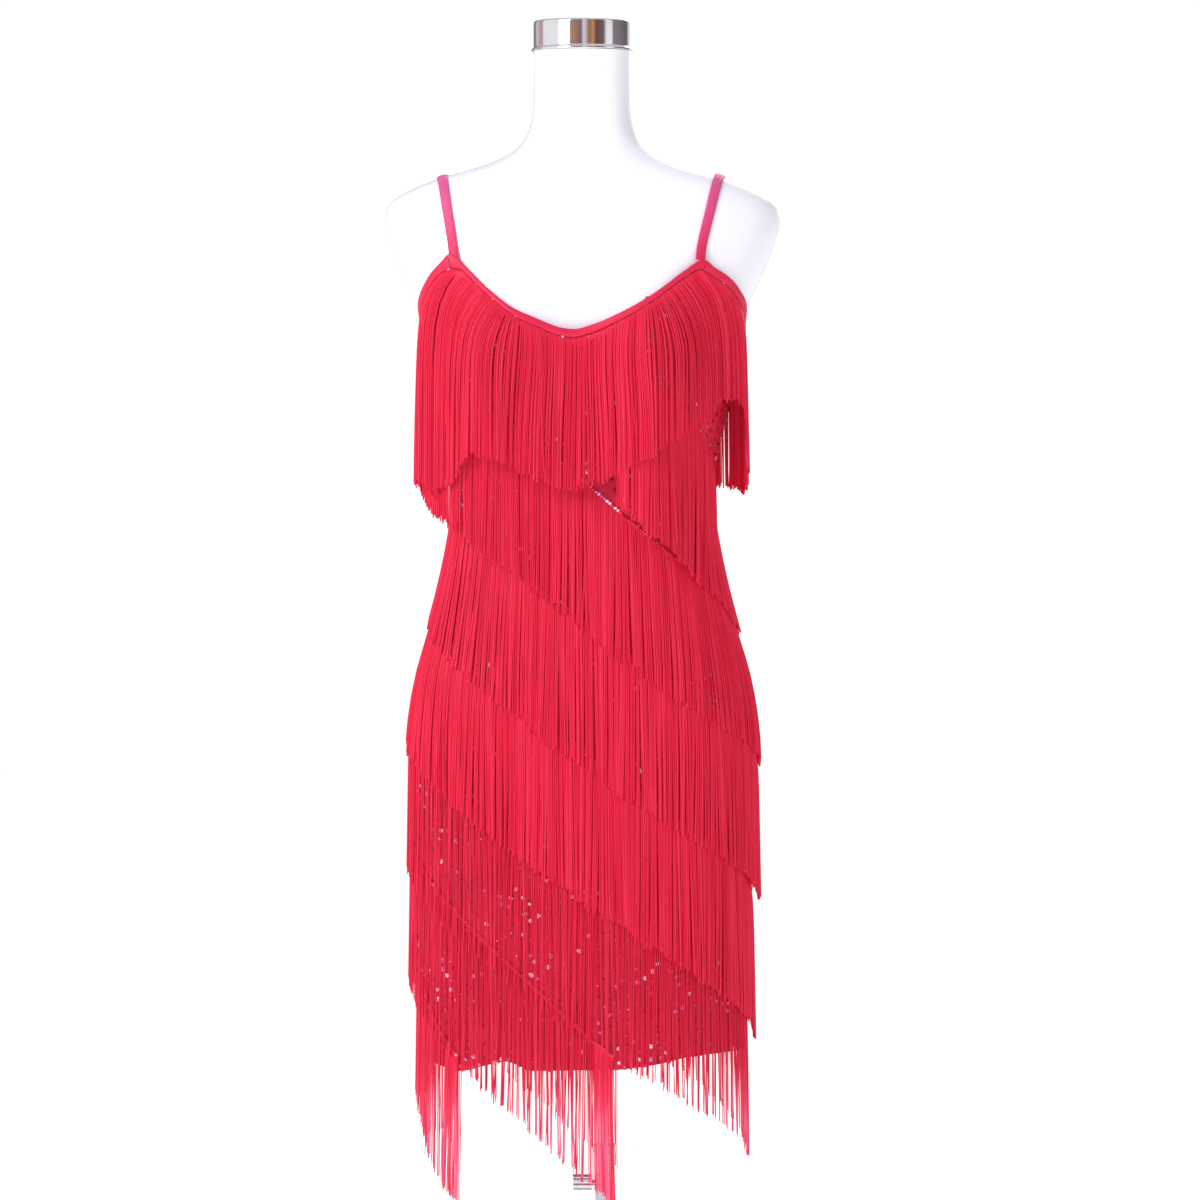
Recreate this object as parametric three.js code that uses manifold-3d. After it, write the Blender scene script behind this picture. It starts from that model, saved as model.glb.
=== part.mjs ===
// A red fringed flapper dress on a limbless dress form with a height-adjustable stand.
// Millimetres, +Z up. The origin is on the floor at the pole's axis, the wearer faces -Y,
// and left and right are as seen from the front.
//
// The body of the form and the dress share one figure: a stack of rounded sections that
// figurePoint() reads. The cloth is that figure moved out by its ease, and every fringe
// hangs from a tape that lies on the cloth and runs down across the body from left to right.
import * as THREE from "three";
import { mergeVertices } from "three/addons/utils/BufferGeometryUtils.js";
import Module from "manifold-3d";

// ---------------------------------------------------------------- driving dimensions
const SEAM_GAP = 0.3; // clearance between neighbouring pieces
const FORM_X = -22; // the form's centre plane, left of the pole
const FORM_INSET = 2.6; // the form is this much slimmer than the figure under the dress
const FORM_BOTTOM = 640; // underside of the form, hidden in the skirt
const NECK_TOP = 1486; // where the metal cap sits on the neck

const CLOTH = 2; // thickness of the knitted, sequined cloth
const EASE = 3; // clearance between the form and the cloth
const CLOTH_OUT = EASE + CLOTH; // the cloth's outer face, measured from the figure
const HEM_Z = 486;
const HEM_WAVE = 4; // the hem's rise and fall
const SKIRT_FOLD = 3; // how far the skirt's soft folds stand in and out at the hem
const SKIRT_FOLDS = 6; // soft folds round the skirt
const FOLD_TOP = 640; // height where the skirt's folds begin
const HIP_Z = 790;

const BINDING_WIDTH = 8; // bias binding round the neck, back and armholes
const BINDING_THICK = 1.6;
const BINDING_LIFT = 0.6; // from the cloth to the binding's inner face
const STRAP_WIDTH = 9.5;
const STRAP_THICK = 1.8;
const STRAP_LIFT = 1.8; // clearance between a strap and the shoulder

const TAPE_HEIGHT = 6; // the fringe's sewn heading tape
const TAPE_LIFT = 0.8; // least clearance between the cloth and the tape's inner face
const TAPE_THICK = 1.2;
const LOCK_PITCH = 28; // one lock of strands to the next
const LOCK_GAP = 5;
const LOCK_THICK = 1.5;
const LOCK_NARROWING = 0.16; // share of a lock's width that each side loses at its tip
const LOCK_UNEVEN = 3; // how much one lock's length differs from the next

// How far the front's hem rides above its even line, by the angle round the body.
const HEM_SAG = [
  { angle: -90, rise: 0 },
  { angle: -67, rise: -8 },
  { angle: -46, rise: -7 },
  { angle: -33, rise: 3 },
  { angle: -25, rise: 6 },
  { angle: -15, rise: -5 },
  { angle: 9, rise: -7 },
  { angle: 22, rise: 0 },
  { angle: 38, rise: 10 },
  { angle: 48, rise: 10 },
  { angle: 73, rise: 3 },
  { angle: 90, rise: 0 },
];

// The figure, a general size 85-66-89 cm: half width, depth to the front and to the back.
const FIGURE = [
  { z: 470, half: 156, front: 99, back: 102 },
  { z: 560, half: 159, front: 101, back: 105 },
  { z: 640, half: 162, front: 102, back: 109 },
  { z: 700, half: 165, front: 103, back: 113 },
  { z: 770, half: 167, front: 104, back: 117 },
  { z: 810, half: 166, front: 103, back: 117 },
  { z: 860, half: 159, front: 101, back: 112 },
  { z: 910, half: 146, front: 95, back: 103 },
  { z: 960, half: 134, front: 89, back: 93 },
  { z: 1010, half: 125, front: 85, back: 85 },
  { z: 1045, half: 122, front: 84, back: 84 },
  { z: 1090, half: 130, front: 88, back: 89 },
  { z: 1140, half: 143, front: 95, back: 97 },
  { z: 1185, half: 152, front: 100, back: 102 },
  { z: 1215, half: 158, front: 100, back: 103 },
  { z: 1240, half: 169, front: 97, back: 102 },
  { z: 1268, half: 181, front: 91, back: 100 },
  { z: 1298, half: 192, front: 84, back: 95 },
  { z: 1320, half: 197, front: 77, back: 89 },
  { z: 1336, half: 192, front: 72, back: 85 },
  { z: 1350, half: 170, front: 68, back: 81 },
  { z: 1362, half: 138, front: 64, back: 77 },
  { z: 1371, half: 106, front: 60, back: 73 },
  { z: 1382, half: 78, front: 56, back: 69 },
  { z: 1397, half: 60, front: 52, back: 64 },
  { z: 1420, half: 51, front: 49, back: 58 },
  { z: 1455, half: 49, front: 48, back: 54 },
  { z: 1492, half: 49, front: 48, back: 52 },
];
const ROUNDNESS = 2.3; // superellipse exponent of the sections
const BUST = { z: 1188, x: 84, rise: 27, spreadX: 46, spreadZ: 52 };

// Top edges of the dress, by the share of the half width: neckline, strap, armhole, underarm.
const RIGHT_EDGE = [
  { across: 0, z: 1210 },
  { across: 0.09, z: 1214.5 },
  { across: 0.16, z: 1219 },
  { across: 0.3, z: 1231 },
  { across: 0.42, z: 1246 },
  { across: 0.53, z: 1264 },
  { across: 0.6, z: 1274 },
  { across: 0.64, z: 1275 },
  { across: 0.7, z: 1269 },
  { across: 0.79, z: 1260 },
  { across: 0.87, z: 1248 },
  { across: 0.95, z: 1231 },
  { across: 1, z: 1206 },
];
const LEFT_EDGE = [
  { across: 0, z: 1210 },
  { across: 0.06, z: 1208.6 },
  { across: 0.16, z: 1210.8 },
  { across: 0.3, z: 1220 },
  { across: 0.42, z: 1230.5 },
  { across: 0.54, z: 1251.6 },
  { across: 0.62, z: 1270 },
  { across: 0.65, z: 1276 },
  { across: 0.7, z: 1276.5 },
  { across: 0.77, z: 1270.5 },
  { across: 0.86, z: 1255 },
  { across: 0.95, z: 1233 },
  { across: 1, z: 1206 },
];
const BACK_EDGE = [
  { across: 0, z: 1192 },
  { across: 0.3, z: 1198 },
  { across: 0.6, z: 1216 },
  { across: 0.65, z: 1216 },
  { across: 0.8, z: 1210 },
  { across: 1, z: 1206 },
];
// The columns of the panels' facets, in degrees from the centre; the sixth is at the strap.
const RIGHT_COLUMNS = [0, 9.5, 19, 27, 33.8, 36.8, 47, 58.5, 69.5, 80, 90];
const LEFT_COLUMNS = [0, 9.5, 19, 28.5, 37.3, 41.2, 50, 60, 70, 80, 90];
const BACK_COLUMNS = [0, 9, 18, 27, 33.8, 37.5, 47, 58, 69, 80, 90];
const PANEL_ROWS = 23;
const ROW_CROWDING = 1.55; // over 1 puts more of the rows near the bust
const SIDE_SEAM_DEG = 0.14; // half the gap at a side seam, as an angle

// Each strap's way out from the centre at its foot and at the top of the shoulder.
const STRAP_SIDES = {
  right: { sign: 1, footX: 115.5, topX: 137.5 },
  left: { sign: -1, footX: 126.5, topX: 141 },
};
const STRAP = { backX: 101, frontZ: 1277.6, backRay: 211.5, endRise: 3, lean: 1.5, steps: 16 };

// The fringes below the bust's. Each runs down from left to right: this high at the centre, this
// much higher at the left seam and lower at the right, as far as it fits on the panel.
const FRINGES = [
  { name: "row2", z: 1213, rise: 161, fall: 161, drop: 141 },
  { name: "row3", z: 1058, rise: 145, fall: 145, drop: 141 },
  { name: "row4", z: 921, rise: 143, fall: 143, drop: 141 },
  { name: "row5", z: 791, rise: 152, fall: 152, drop: 141 },
  { name: "row6", z: 655, rise: 172, fall: 136, drop: 141 },
  { name: "row7", z: 517, rise: 194, fall: 177, drop: 141 },
  { name: "row8", z: 342, rise: 245, fall: 245, drop: 141 },
];
const LAID_ON = { root: 2.6, tip: 5.7 }; // how far a row's locks stand off the cloth
const BUST_FRINGE = { root: 2, near: 5, tip: 8.8, nearDrop: 11, drop: 152 };
const HANG_STEPS = [0, 0.34, 0.67, 1]; // shares of the drop where a lock has a section
const SKIRT_HANG_STEPS = [0, 0.5, 1];
const BUST_HANG_STEPS = [0, 0.075, 0.2, 0.38, 0.66, 1];
const BACK_HANG_STEPS = [0, 0.075, 0.5, 1];
const ROW_SPACE = 30; // least height between the binding and a row's tape

const CAP = { radius: 49.5, height: 30.5 };
const POLE = { radius: 8, bottom: 150 };
const TUBE = { radius: 12.5, bore: 10.5, bottom: 14, top: 332 };
const COLLAR = { radius: 10.2, rim: 11.6, bottom: 282, rimBottom: 383, top: 392 };
const KNOB = { z: 353, radius: 7.4, lobe: 0.7, thick: 19, stemRadius: 3, reach: 13 };
const BASE = { radius: 180, thick: 10, boss: 30, bossTop: 26 };
const FLANGE = { radius: 32, thick: 12 };

// Colours, roughness and metalness.
const FINISH = {
  cloth: new THREE.MeshStandardMaterial({ color: 0xb8142c, roughness: 0.55 }),
  binding: new THREE.MeshStandardMaterial({ color: 0xdb2a50, roughness: 0.6 }),
  fringe: new THREE.MeshStandardMaterial({ color: 0xd81f40, roughness: 0.45 }),
  form: new THREE.MeshStandardMaterial({ color: 0xf4f3f6, roughness: 0.35 }),
  chrome: new THREE.MeshStandardMaterial({ color: 0xd0d0d2, roughness: 0.12, metalness: 1 }),
  knob: new THREE.MeshStandardMaterial({ color: 0xc8c8ca, roughness: 0.22, metalness: 1 }),
};

// ---------------------------------------------------------------- small mathematics
const radians = THREE.MathUtils.degToRad;
const lerp = THREE.MathUtils.lerp;

// Reads a column of a table at a height or a place, on a smooth curve through its rows.
function readTable(table, key, column, at) {
  const last = table.length - 1;
  const clamped = THREE.MathUtils.clamp(at, table[0][key], table[last][key]);
  let i = 0;
  while (i < last - 1 && table[i + 1][key] < clamped) i += 1;
  const slopeAt = (k) => {
    const low = table[Math.max(k - 1, 0)];
    const high = table[Math.min(k + 1, last)];
    return (high[column] - low[column]) / (high[key] - low[key]);
  };
  const span = table[i + 1][key] - table[i][key];
  const t = (clamped - table[i][key]) / span;
  const rise = table[i + 1][column] - table[i][column];
  const limit = 3 * Math.abs(rise); // keeps the curve from swinging past its rows
  const bend = (k) => THREE.MathUtils.clamp(slopeAt(k) * span, -limit, limit);
  const a = bend(i);
  const b = bend(i + 1);
  const bump = (1 - t) * a - t * b + (2 * t - 1) * rise;
  return table[i][column] + t * rise + t * (1 - t) * bump;
}

// Points inwards or outwards from 0 to 1 with no corner at either end.
function ease(from, to, at) {
  return THREE.MathUtils.smoothstep(at, Math.min(from, to), Math.max(from, to));
}

// ---------------------------------------------------------------- the figure
// A point of the figure at an angle round the body (0 front, 90 right, 180 back) and height.
function figureXY(angle, z) {
  const sine = Math.sin(radians(angle));
  const cosine = Math.cos(radians(angle));
  const power = 2 / ROUNDNESS;
  const half = readTable(FIGURE, "z", "half", z);
  const depth = readTable(FIGURE, "z", cosine > 0 ? "front" : "back", z);
  const x = half * Math.sign(sine) * Math.abs(sine) ** power;
  let y = -depth * Math.sign(cosine) * Math.abs(cosine) ** power;
  if (cosine > 0) {
    const aside = (Math.abs(x) - BUST.x) / BUST.spreadX;
    const above = (z - BUST.z) / BUST.spreadZ;
    y -= BUST.rise * Math.sqrt(cosine) * Math.exp(-aside * aside - above * above);
  }
  return new THREE.Vector2(x, y);
}

// The outward direction of the figure's section there.
function figureOut(angle, z) {
  const step = 0.5;
  const along = figureXY(angle + step, z).sub(figureXY(angle - step, z));
  return new THREE.Vector2(-along.y, along.x).negate().normalize();
}

// The skirt's soft folds, which grow towards the hem.
function skirtFold(angle, z) {
  return SKIRT_FOLD * (1 - ease(HEM_Z, FOLD_TOP, z)) * Math.sin(radians(SKIRT_FOLDS * angle + 40));
}

// A point on the figure moved out by a distance, in the part's frame.
function figurePoint(angle, z, out = 0) {
  const at = figureXY(angle, z).addScaledVector(figureOut(angle, z), out + skirtFold(angle, z));
  return new THREE.Vector3(at.x + FORM_X, at.y, z);
}

// Where something hanging from (angle, top) has got to after a drop: it falls straight, and
// where the body under it swells out, it is pushed straight out from the body.
function hangPoint(angle, top, drop, out) {
  const sampleStep = 4;
  const halfDegree = 0.5;
  let foot = angle; // the angle of the body's nearest point
  let at = figureXY(angle, top).addScaledVector(figureOut(angle, top), skirtFold(angle, top));
  for (let fallen = sampleStep; fallen <= drop; fallen += sampleStep) {
    const z = top - fallen;
    const along = figureXY(foot + halfDegree, z).sub(figureXY(foot - halfDegree, z));
    foot += at.clone().sub(figureXY(foot, z)).dot(along) / along.lengthSq();
    const body = figureXY(foot, z).addScaledVector(figureOut(foot, z), skirtFold(foot, z));
    if (at.clone().sub(body).dot(figureOut(foot, z)) < 0) at = body;
  }
  at = at.clone().addScaledVector(figureOut(foot, top - drop), out);
  return new THREE.Vector3(at.x + FORM_X, at.y, top - drop);
}

// ---------------------------------------------------------------- closed meshes
// Builds one closed solid from points and faces of three or four corners, facing outwards.
function solid(points, faces) {
  const triangles = faces.flatMap((f) =>
    f.length === 3 ? [f] : [[f[0], f[1], f[2]], [f[0], f[2], f[3]]],
  );
  let volume = 0;
  for (const [a, b, c] of triangles) {
    volume += points[a].dot(new THREE.Vector3().crossVectors(points[b], points[c]));
  }
  const index = triangles.flatMap(([a, b, c]) => (volume > 0 ? [a, b, c] : [a, c, b]));
  const geometry = new THREE.BufferGeometry().setFromPoints(points);
  geometry.setIndex(index);
  geometry.computeVertexNormals();
  return geometry;
}

// Rings of the same number of points, stacked into a closed solid.
function stackedRings(rings) {
  const count = rings[0].length;
  const points = rings.flat();
  const faces = [];
  for (let r = 0; r + 1 < rings.length; r += 1) {
    for (let i = 0; i < count; i += 1) {
      const next = (i + 1) % count;
      const low = r * count;
      const high = low + count;
      faces.push([low + i, low + next, high + next, high + i]);
    }
  }
  const lastRing = (rings.length - 1) * count;
  for (let i = 1; i + 1 < count; i += 1) {
    faces.push([0, i + 1, i]);
    faces.push([lastRing, lastRing + i, lastRing + i + 1]);
  }
  return solid(points, faces);
}

// A wall between an outer and an inner grid of points, rows of columns, closed at its edges.
function wall(outer, inner) {
  const rows = outer.length;
  const columns = outer[0].length;
  const points = [...outer.flat(), ...inner.flat()];
  const at = (layer, r, c) => layer * rows * columns + r * columns + c;
  const faces = [];
  for (let r = 0; r + 1 < rows; r += 1) {
    for (let c = 0; c + 1 < columns; c += 1) {
      faces.push([at(0, r, c), at(0, r, c + 1), at(0, r + 1, c + 1), at(0, r + 1, c)]);
      faces.push([at(1, r, c), at(1, r + 1, c), at(1, r + 1, c + 1), at(1, r, c + 1)]);
    }
  }
  for (let c = 0; c + 1 < columns; c += 1) {
    faces.push([at(0, 0, c), at(1, 0, c), at(1, 0, c + 1), at(0, 0, c + 1)]);
    faces.push([at(0, rows - 1, c), at(0, rows - 1, c + 1), at(1, rows - 1, c + 1), at(1, rows - 1, c)]);
  }
  for (let r = 0; r + 1 < rows; r += 1) {
    faces.push([at(0, r, 0), at(0, r + 1, 0), at(1, r + 1, 0), at(1, r, 0)]);
    const end = columns - 1;
    faces.push([at(0, r, end), at(1, r, end), at(1, r + 1, end), at(0, r + 1, end)]);
  }
  return solid(points, faces);
}

// A tape with a four-cornered section at each station: outer top, outer bottom, inner bottom,
// inner top. Where hangs(i) gives rings, the tape's underside from station i to i + 1 runs on
// down through them as one lock, so that tape and locks are a single piece.
function tape(stations, hangs = () => []) {
  const points = stations.flat();
  const faces = [];
  const last = (stations.length - 1) * 4;
  for (let i = 0; i + 1 < stations.length; i += 1) {
    const [topOut, lowOut, lowIn, topIn] = [0, 1, 2, 3].map((k) => i * 4 + k);
    faces.push([topOut, lowOut, lowOut + 4, topOut + 4]);
    faces.push([lowIn, topIn, topIn + 4, lowIn + 4]);
    faces.push([topIn, topOut, topOut + 4, topIn + 4]);
    let ring = [lowOut, lowIn, lowIn + 4, lowOut + 4];
    for (const lower of hangs(i)) {
      const first = points.length;
      points.push(...lower);
      const below = [first, first + 1, first + 2, first + 3];
      for (let k = 0; k < 4; k += 1) {
        const next = (k + 1) % 4;
        faces.push([ring[k], ring[next], below[next], below[k]]);
      }
      ring = below;
    }
    faces.push(ring);
  }
  faces.push([0, 3, 2, 1]);
  faces.push([last, last + 1, last + 2, last + 3]);
  return solid(points, faces);
}

// ---------------------------------------------------------------- edges of the cloth
function acrossAt(angle) {
  return Math.abs(Math.sin(radians(angle))) ** (2 / ROUNDNESS);
}

// The height of the dress's top edge at an angle round the body.
function topEdge(angle) {
  const front = Math.sin(radians(angle)) >= 0 ? RIGHT_EDGE : LEFT_EDGE;
  return readTable(Math.cos(radians(angle)) >= 0 ? front : BACK_EDGE, "across", "z", acrossAt(angle));
}

// The hem's even line, where the rows of fringe run out.
function hemLine(angle) {
  return HEM_Z + HEM_WAVE * Math.sin(radians(5 * angle + 70));
}

// The hem itself, which rides up and sags along that line.
function hemEdge(angle) {
  return hemLine(angle) + readTable(HEM_SAG, "angle", "rise", angle);
}

const FRONT_ANGLES = panelAngles(LEFT_COLUMNS, RIGHT_COLUMNS, 0);
const BACK_ANGLES = panelAngles(BACK_COLUMNS, BACK_COLUMNS, 180);
const WAY_TO_SIDE = wayToSide();

// ---------------------------------------------------------------- pieces of the dress
// The angles of a panel's columns, from one side seam to the other.
function panelAngles(before, after, middle) {
  const upToSeam = (columns) => columns.map((angle) => Math.min(angle, 90 - SIDE_SEAM_DEG));
  const first = upToSeam(before).slice(1).reverse();
  return [...first.map((a) => middle - a), ...upToSeam(after).map((a) => middle + a)];
}

// The heights of a panel's rows at an angle, from the hem to the top edge.
function rowHeights(angle) {
  return Array.from({ length: PANEL_ROWS + 1 }, (_, r) => {
    const up = 1 - (1 - r / PANEL_ROWS) ** ROW_CROWDING;
    return lerp(hemEdge(angle), topEdge(angle), up);
  });
}

// The front or back of the dress: a wall from the hem to the top edge, between side seams.
function dressPanel(angles) {
  const heights = angles.map(rowHeights);
  const grid = (out) =>
    heights[0].map((_, r) => angles.map((angle, c) => figurePoint(angle, heights[c][r], out)));
  return wall(grid(CLOTH_OUT), grid(EASE));
}

// A point on the flat facets of a panel, moved out from the cloth's outer face.
function clothPoint(angle, z, lift) {
  const whole = angle < -90 ? angle + 360 : angle;
  const columns = whole <= 90 ? FRONT_ANGLES : BACK_ANGLES;
  const bracket = (values, at) => {
    const above = values.findIndex((value) => value >= at);
    return above < 0 ? values.length - 1 : Math.max(above, 1);
  };
  const c = bracket(columns, whole);
  const across = (whole - columns[c - 1]) / (columns[c] - columns[c - 1]);
  const left = rowHeights(columns[c - 1]);
  const right = rowHeights(columns[c]);
  const rows = left.map((height, i) => lerp(height, right[i], across));
  const r = bracket(rows, z);
  const up = (z - rows[r - 1]) / (rows[r] - rows[r - 1]);
  const onColumn = (column, heights) => {
    const low = figurePoint(column, heights[r - 1], CLOTH_OUT + lift);
    return low.lerp(figurePoint(column, heights[r], CLOTH_OUT + lift), up);
  };
  return onColumn(columns[c - 1], left).lerp(onColumn(columns[c], right), across);
}

// The section of a band that lies on the cloth: its lower edge, height, lift and thickness.
function bandSection(angle, low, height, lift, thick) {
  return [
    clothPoint(angle, low + height, lift + thick),
    clothPoint(angle, low, lift + thick),
    clothPoint(angle, low, lift),
    clothPoint(angle, low + height, lift),
  ];
}

// Bias binding that lies on the top edge from one angle to another, bent where the panels are.
function binding(fromAngle, toAngle) {
  const columns = [...BACK_ANGLES.map((a) => a - 360), ...FRONT_ANGLES, ...BACK_ANGLES];
  const between = columns.filter((a) => a > fromAngle && a < toAngle).sort((a, b) => a - b);
  const angles = [fromAngle, ...between, toAngle];
  return tape(
    angles.map((angle) => {
      const top = topEdge(angle) + BINDING_THICK / 2;
      return bandSection(angle, top - BINDING_WIDTH, BINDING_WIDTH, BINDING_LIFT, BINDING_THICK);
    }),
  );
}

// Where the form's shoulder is met by a ray in the plane x, rising from inside the chest.
function shoulderPoint(x, rayDegrees, lift) {
  const heart = { y: 4, z: STRAP.frontZ };
  const toward = { y: -Math.cos(radians(rayDegrees)), z: Math.sin(radians(rayDegrees)) };
  const isInside = (reach) => {
    const y = heart.y + reach * toward.y;
    const z = heart.z + reach * toward.z;
    const half = readTable(FIGURE, "z", "half", z);
    const depth = readTable(FIGURE, "z", y < 0 ? "front" : "back", z);
    return (Math.abs(x) / half) ** ROUNDNESS + (Math.abs(y) / depth) ** ROUNDNESS < 1;
  };
  let near = 0;
  let far = 140;
  for (let i = 0; i < 30; i += 1) {
    const middle = (near + far) / 2;
    if (isInside(middle)) near = middle;
    else far = middle;
  }
  const reach = near + lift;
  return new THREE.Vector3(x + FORM_X, heart.y + reach * toward.y, heart.z + reach * toward.z);
}

// A strap from the front of the dress over the shoulder to the back.
function strap({ sign, footX, topX }) {
  const { backRay } = STRAP;
  const stations = [];
  for (let i = 0; i <= STRAP.steps; i += 1) {
    const ray = lerp(0, backRay, i / STRAP.steps);
    const x =
      ray < 90
        ? lerp(footX, topX, Math.sin(radians(ray)) ** STRAP.lean)
        : lerp(topX, STRAP.backX, (ray - 90) / (backRay - 90));
    const at = (aside, lift) => shoulderPoint(sign * (x + aside), ray, lift);
    const half = STRAP_WIDTH / 2;
    const isEnd = i === 0 || i === STRAP.steps;
    const inner = STRAP_LIFT + (isEnd ? STRAP.endRise : 0);
    const outer = inner + STRAP_THICK;
    stations.push([at(half, outer), at(-half, outer), at(-half, inner), at(half, inner)]);
  }
  return tape(stations);
}

// ---------------------------------------------------------------- fringes
// Divides a run of tape into locks of equal pitch: [left, right] angles for each lock.
function lockAngles(fromAngle, toAngle, heightAt) {
  const samples = 240;
  const angles = [];
  const lengths = [0];
  for (let i = 0; i <= samples; i += 1) {
    angles.push(lerp(fromAngle, toAngle, i / samples));
    if (i > 0) {
      const here = figurePoint(angles[i], heightAt(angles[i]), CLOTH_OUT);
      const before = figurePoint(angles[i - 1], heightAt(angles[i - 1]), CLOTH_OUT);
      lengths.push(lengths[i - 1] + here.distanceTo(before));
    }
  }
  const angleAt = (length) => {
    let i = 1;
    while (i < samples && lengths[i] < length) i += 1;
    return lerp(angles[i - 1], angles[i], (length - lengths[i - 1]) / (lengths[i] - lengths[i - 1]));
  };
  const total = lengths[samples];
  const count = Math.max(2, Math.round((total + LOCK_GAP) / LOCK_PITCH));
  const pitch = (total + LOCK_GAP) / count;
  return Array.from({ length: count }, (_, i) => [
    angleAt(i * pitch),
    angleAt(Math.min(i * pitch + pitch - LOCK_GAP, total)),
  ]);
}

// How far the cloth swells out past a straight piece of tape between two angles.
function swellBetween(left, right, heightAt) {
  const samples = 8;
  let most = 0;
  for (const rise of [0, TAPE_HEIGHT]) {
    const start = clothPoint(left, heightAt(left) + rise, 0);
    const end = clothPoint(right, heightAt(right) + rise, 0);
    for (let i = 1; i < samples; i += 1) {
      const angle = lerp(left, right, i / samples);
      const straight = start.clone().lerp(end, i / samples);
      const out = figureOut(angle, straight.z);
      const over = clothPoint(angle, straight.z, 0).sub(straight);
      most = Math.max(most, over.x * out.x + over.y * out.y);
    }
  }
  return most;
}

// One fringe: its tape follows heightAt from one angle to another, and its locks hang from it.
// liftAt gives how far the locks' inner faces stand off the cloth after a share of the drop.
function fringe(fromAngle, toAngle, heightAt, drop, shares, liftAt) {
  const locks = lockAngles(fromAngle, toAngle, heightAt);
  const edges = locks.flat();
  const swells = edges.slice(1).map((angle, i) => swellBetween(edges[i], angle, heightAt));
  const stations = edges.map((angle, i) => {
    const lift = TAPE_LIFT + Math.max(0, swells[i - 1] ?? 0, swells[i] ?? 0);
    return bandSection(angle, heightAt(angle), TAPE_HEIGHT, lift, TAPE_THICK);
  });
  const hangs = (i) => {
    if (i % 2 === 1) return [];
    const [left, right] = locks[i / 2];
    const length = drop + LOCK_UNEVEN * Math.sin(2.4 * i);
    return shares.slice(1).map((share) => {
      const narrow = LOCK_NARROWING * share * (right - left);
      const near = CLOTH_OUT + liftAt(share);
      const corner = (angle, inwards, out) =>
        hangPoint(angle + inwards, heightAt(angle), length * share, out);
      return [
        corner(left, narrow, near + LOCK_THICK),
        corner(left, narrow, near),
        corner(right, -narrow, near),
        corner(right, -narrow, near + LOCK_THICK),
      ];
    });
  };
  return tape(stations, hangs);
}

// The way from the front or back centre to a side seam, measured on the cloth, by the degree.
function wayToSide() {
  const way = [{ angle: 0, share: 0 }];
  for (let angle = 1; angle <= 90; angle += 1) {
    const step = figureXY(angle, HIP_Z).distanceTo(figureXY(angle - 1, HIP_Z));
    way.push({ angle, share: way[angle - 1].share + step });
  }
  return way.map(({ angle, share }) => ({ angle, share: share / way[90].share }));
}

// The height of a row's tape at an angle: both panels' rows meet at the side seams.
function rowHeight(row, angle) {
  const aside = 90 - Math.abs(Math.abs(THREE.MathUtils.euclideanModulo(angle + 180, 360) - 180) - 90);
  const climb = Math.sin(radians(angle)) < 0 ? row.rise : -row.fall;
  return row.z + climb * readTable(WAY_TO_SIDE, "angle", "share", aside);
}

// The part of a row that lies on the front or the back, as angles: [from, to].
function rowSpan(row, middle) {
  const step = 0.25;
  const inside = [];
  for (let a = -90 + SIDE_SEAM_DEG * 3; a <= 90 - SIDE_SEAM_DEG * 3; a += step) {
    const angle = middle + a;
    const z = rowHeight(row, angle);
    const highest = topEdge(angle) - BINDING_WIDTH - ROW_SPACE;
    const lowest = hemLine(angle) + 2;
    if (z < highest && z > lowest) inside.push(angle);
  }
  return [inside[0], inside[inside.length - 1]];
}

function rowFringe(row, middle) {
  const [from, to] = rowSpan(row, middle);
  const liftAt = (share) => lerp(LAID_ON.root, LAID_ON.tip, share);
  const steps = row.z > FORM_BOTTOM + row.drop ? HANG_STEPS : SKIRT_HANG_STEPS;
  return fringe(from, to, (angle) => rowHeight(row, angle), row.drop, steps, liftAt);
}

// The fringe that hangs from the neckline, the armholes or the back's top edge.
function bustFringe(middle) {
  const side = 90 - SIDE_SEAM_DEG * 3;
  const heightAt = (angle) => topEdge(angle) - BINDING_WIDTH - TAPE_HEIGHT - 1.5;
  const nearShare = BUST_FRINGE.nearDrop / BUST_FRINGE.drop;
  const liftAt = (share) =>
    share <= nearShare
      ? lerp(BUST_FRINGE.root, BUST_FRINGE.near, share / nearShare)
      : lerp(BUST_FRINGE.near, BUST_FRINGE.tip, (share - nearShare) / (1 - nearShare));
  const steps = middle === 0 ? BUST_HANG_STEPS : BACK_HANG_STEPS;
  return fringe(middle - side, middle + side, heightAt, BUST_FRINGE.drop, steps, liftAt);
}


// ---------------------------------------------------------------- the form and its stand
function formTorso() {
  const around = 30;
  const bustLevels = [BUST.z - 24, BUST.z + 12];
  const rows = [...FIGURE.map(({ z }) => z), ...bustLevels].sort((a, b) => a - b);
  const levels = rows.filter((z) => z > FORM_BOTTOM + 20 && z < NECK_TOP);
  const ring = (z, inset) =>
    Array.from({ length: around }, (_, i) => {
      const angle = (i * 360) / around;
      const at = figureXY(angle, z).addScaledVector(figureOut(angle, z), -inset);
      return new THREE.Vector3(at.x + FORM_X, at.y, z);
    });
  const bottomRound = 14;
  const rings = [
    ring(FORM_BOTTOM, bottomRound + 6),
    ring(FORM_BOTTOM + bottomRound, 8),
    ...levels.map((z) => ring(z, FORM_INSET * (1 - ease(BUST.z + 15, BUST.z + 90, z)))),
    ring(NECK_TOP, 0),
  ];
  return stackedRings(rings);
}

// A round piece about +Z from a profile of [radius, height] corners that starts and ends on the axis.
function turned(profile, segments = 30) {
  const points = profile.map(([radius, z]) => new THREE.Vector2(radius, z));
  return new THREE.LatheGeometry(points, segments).rotateX(Math.PI / 2);
}

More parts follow.
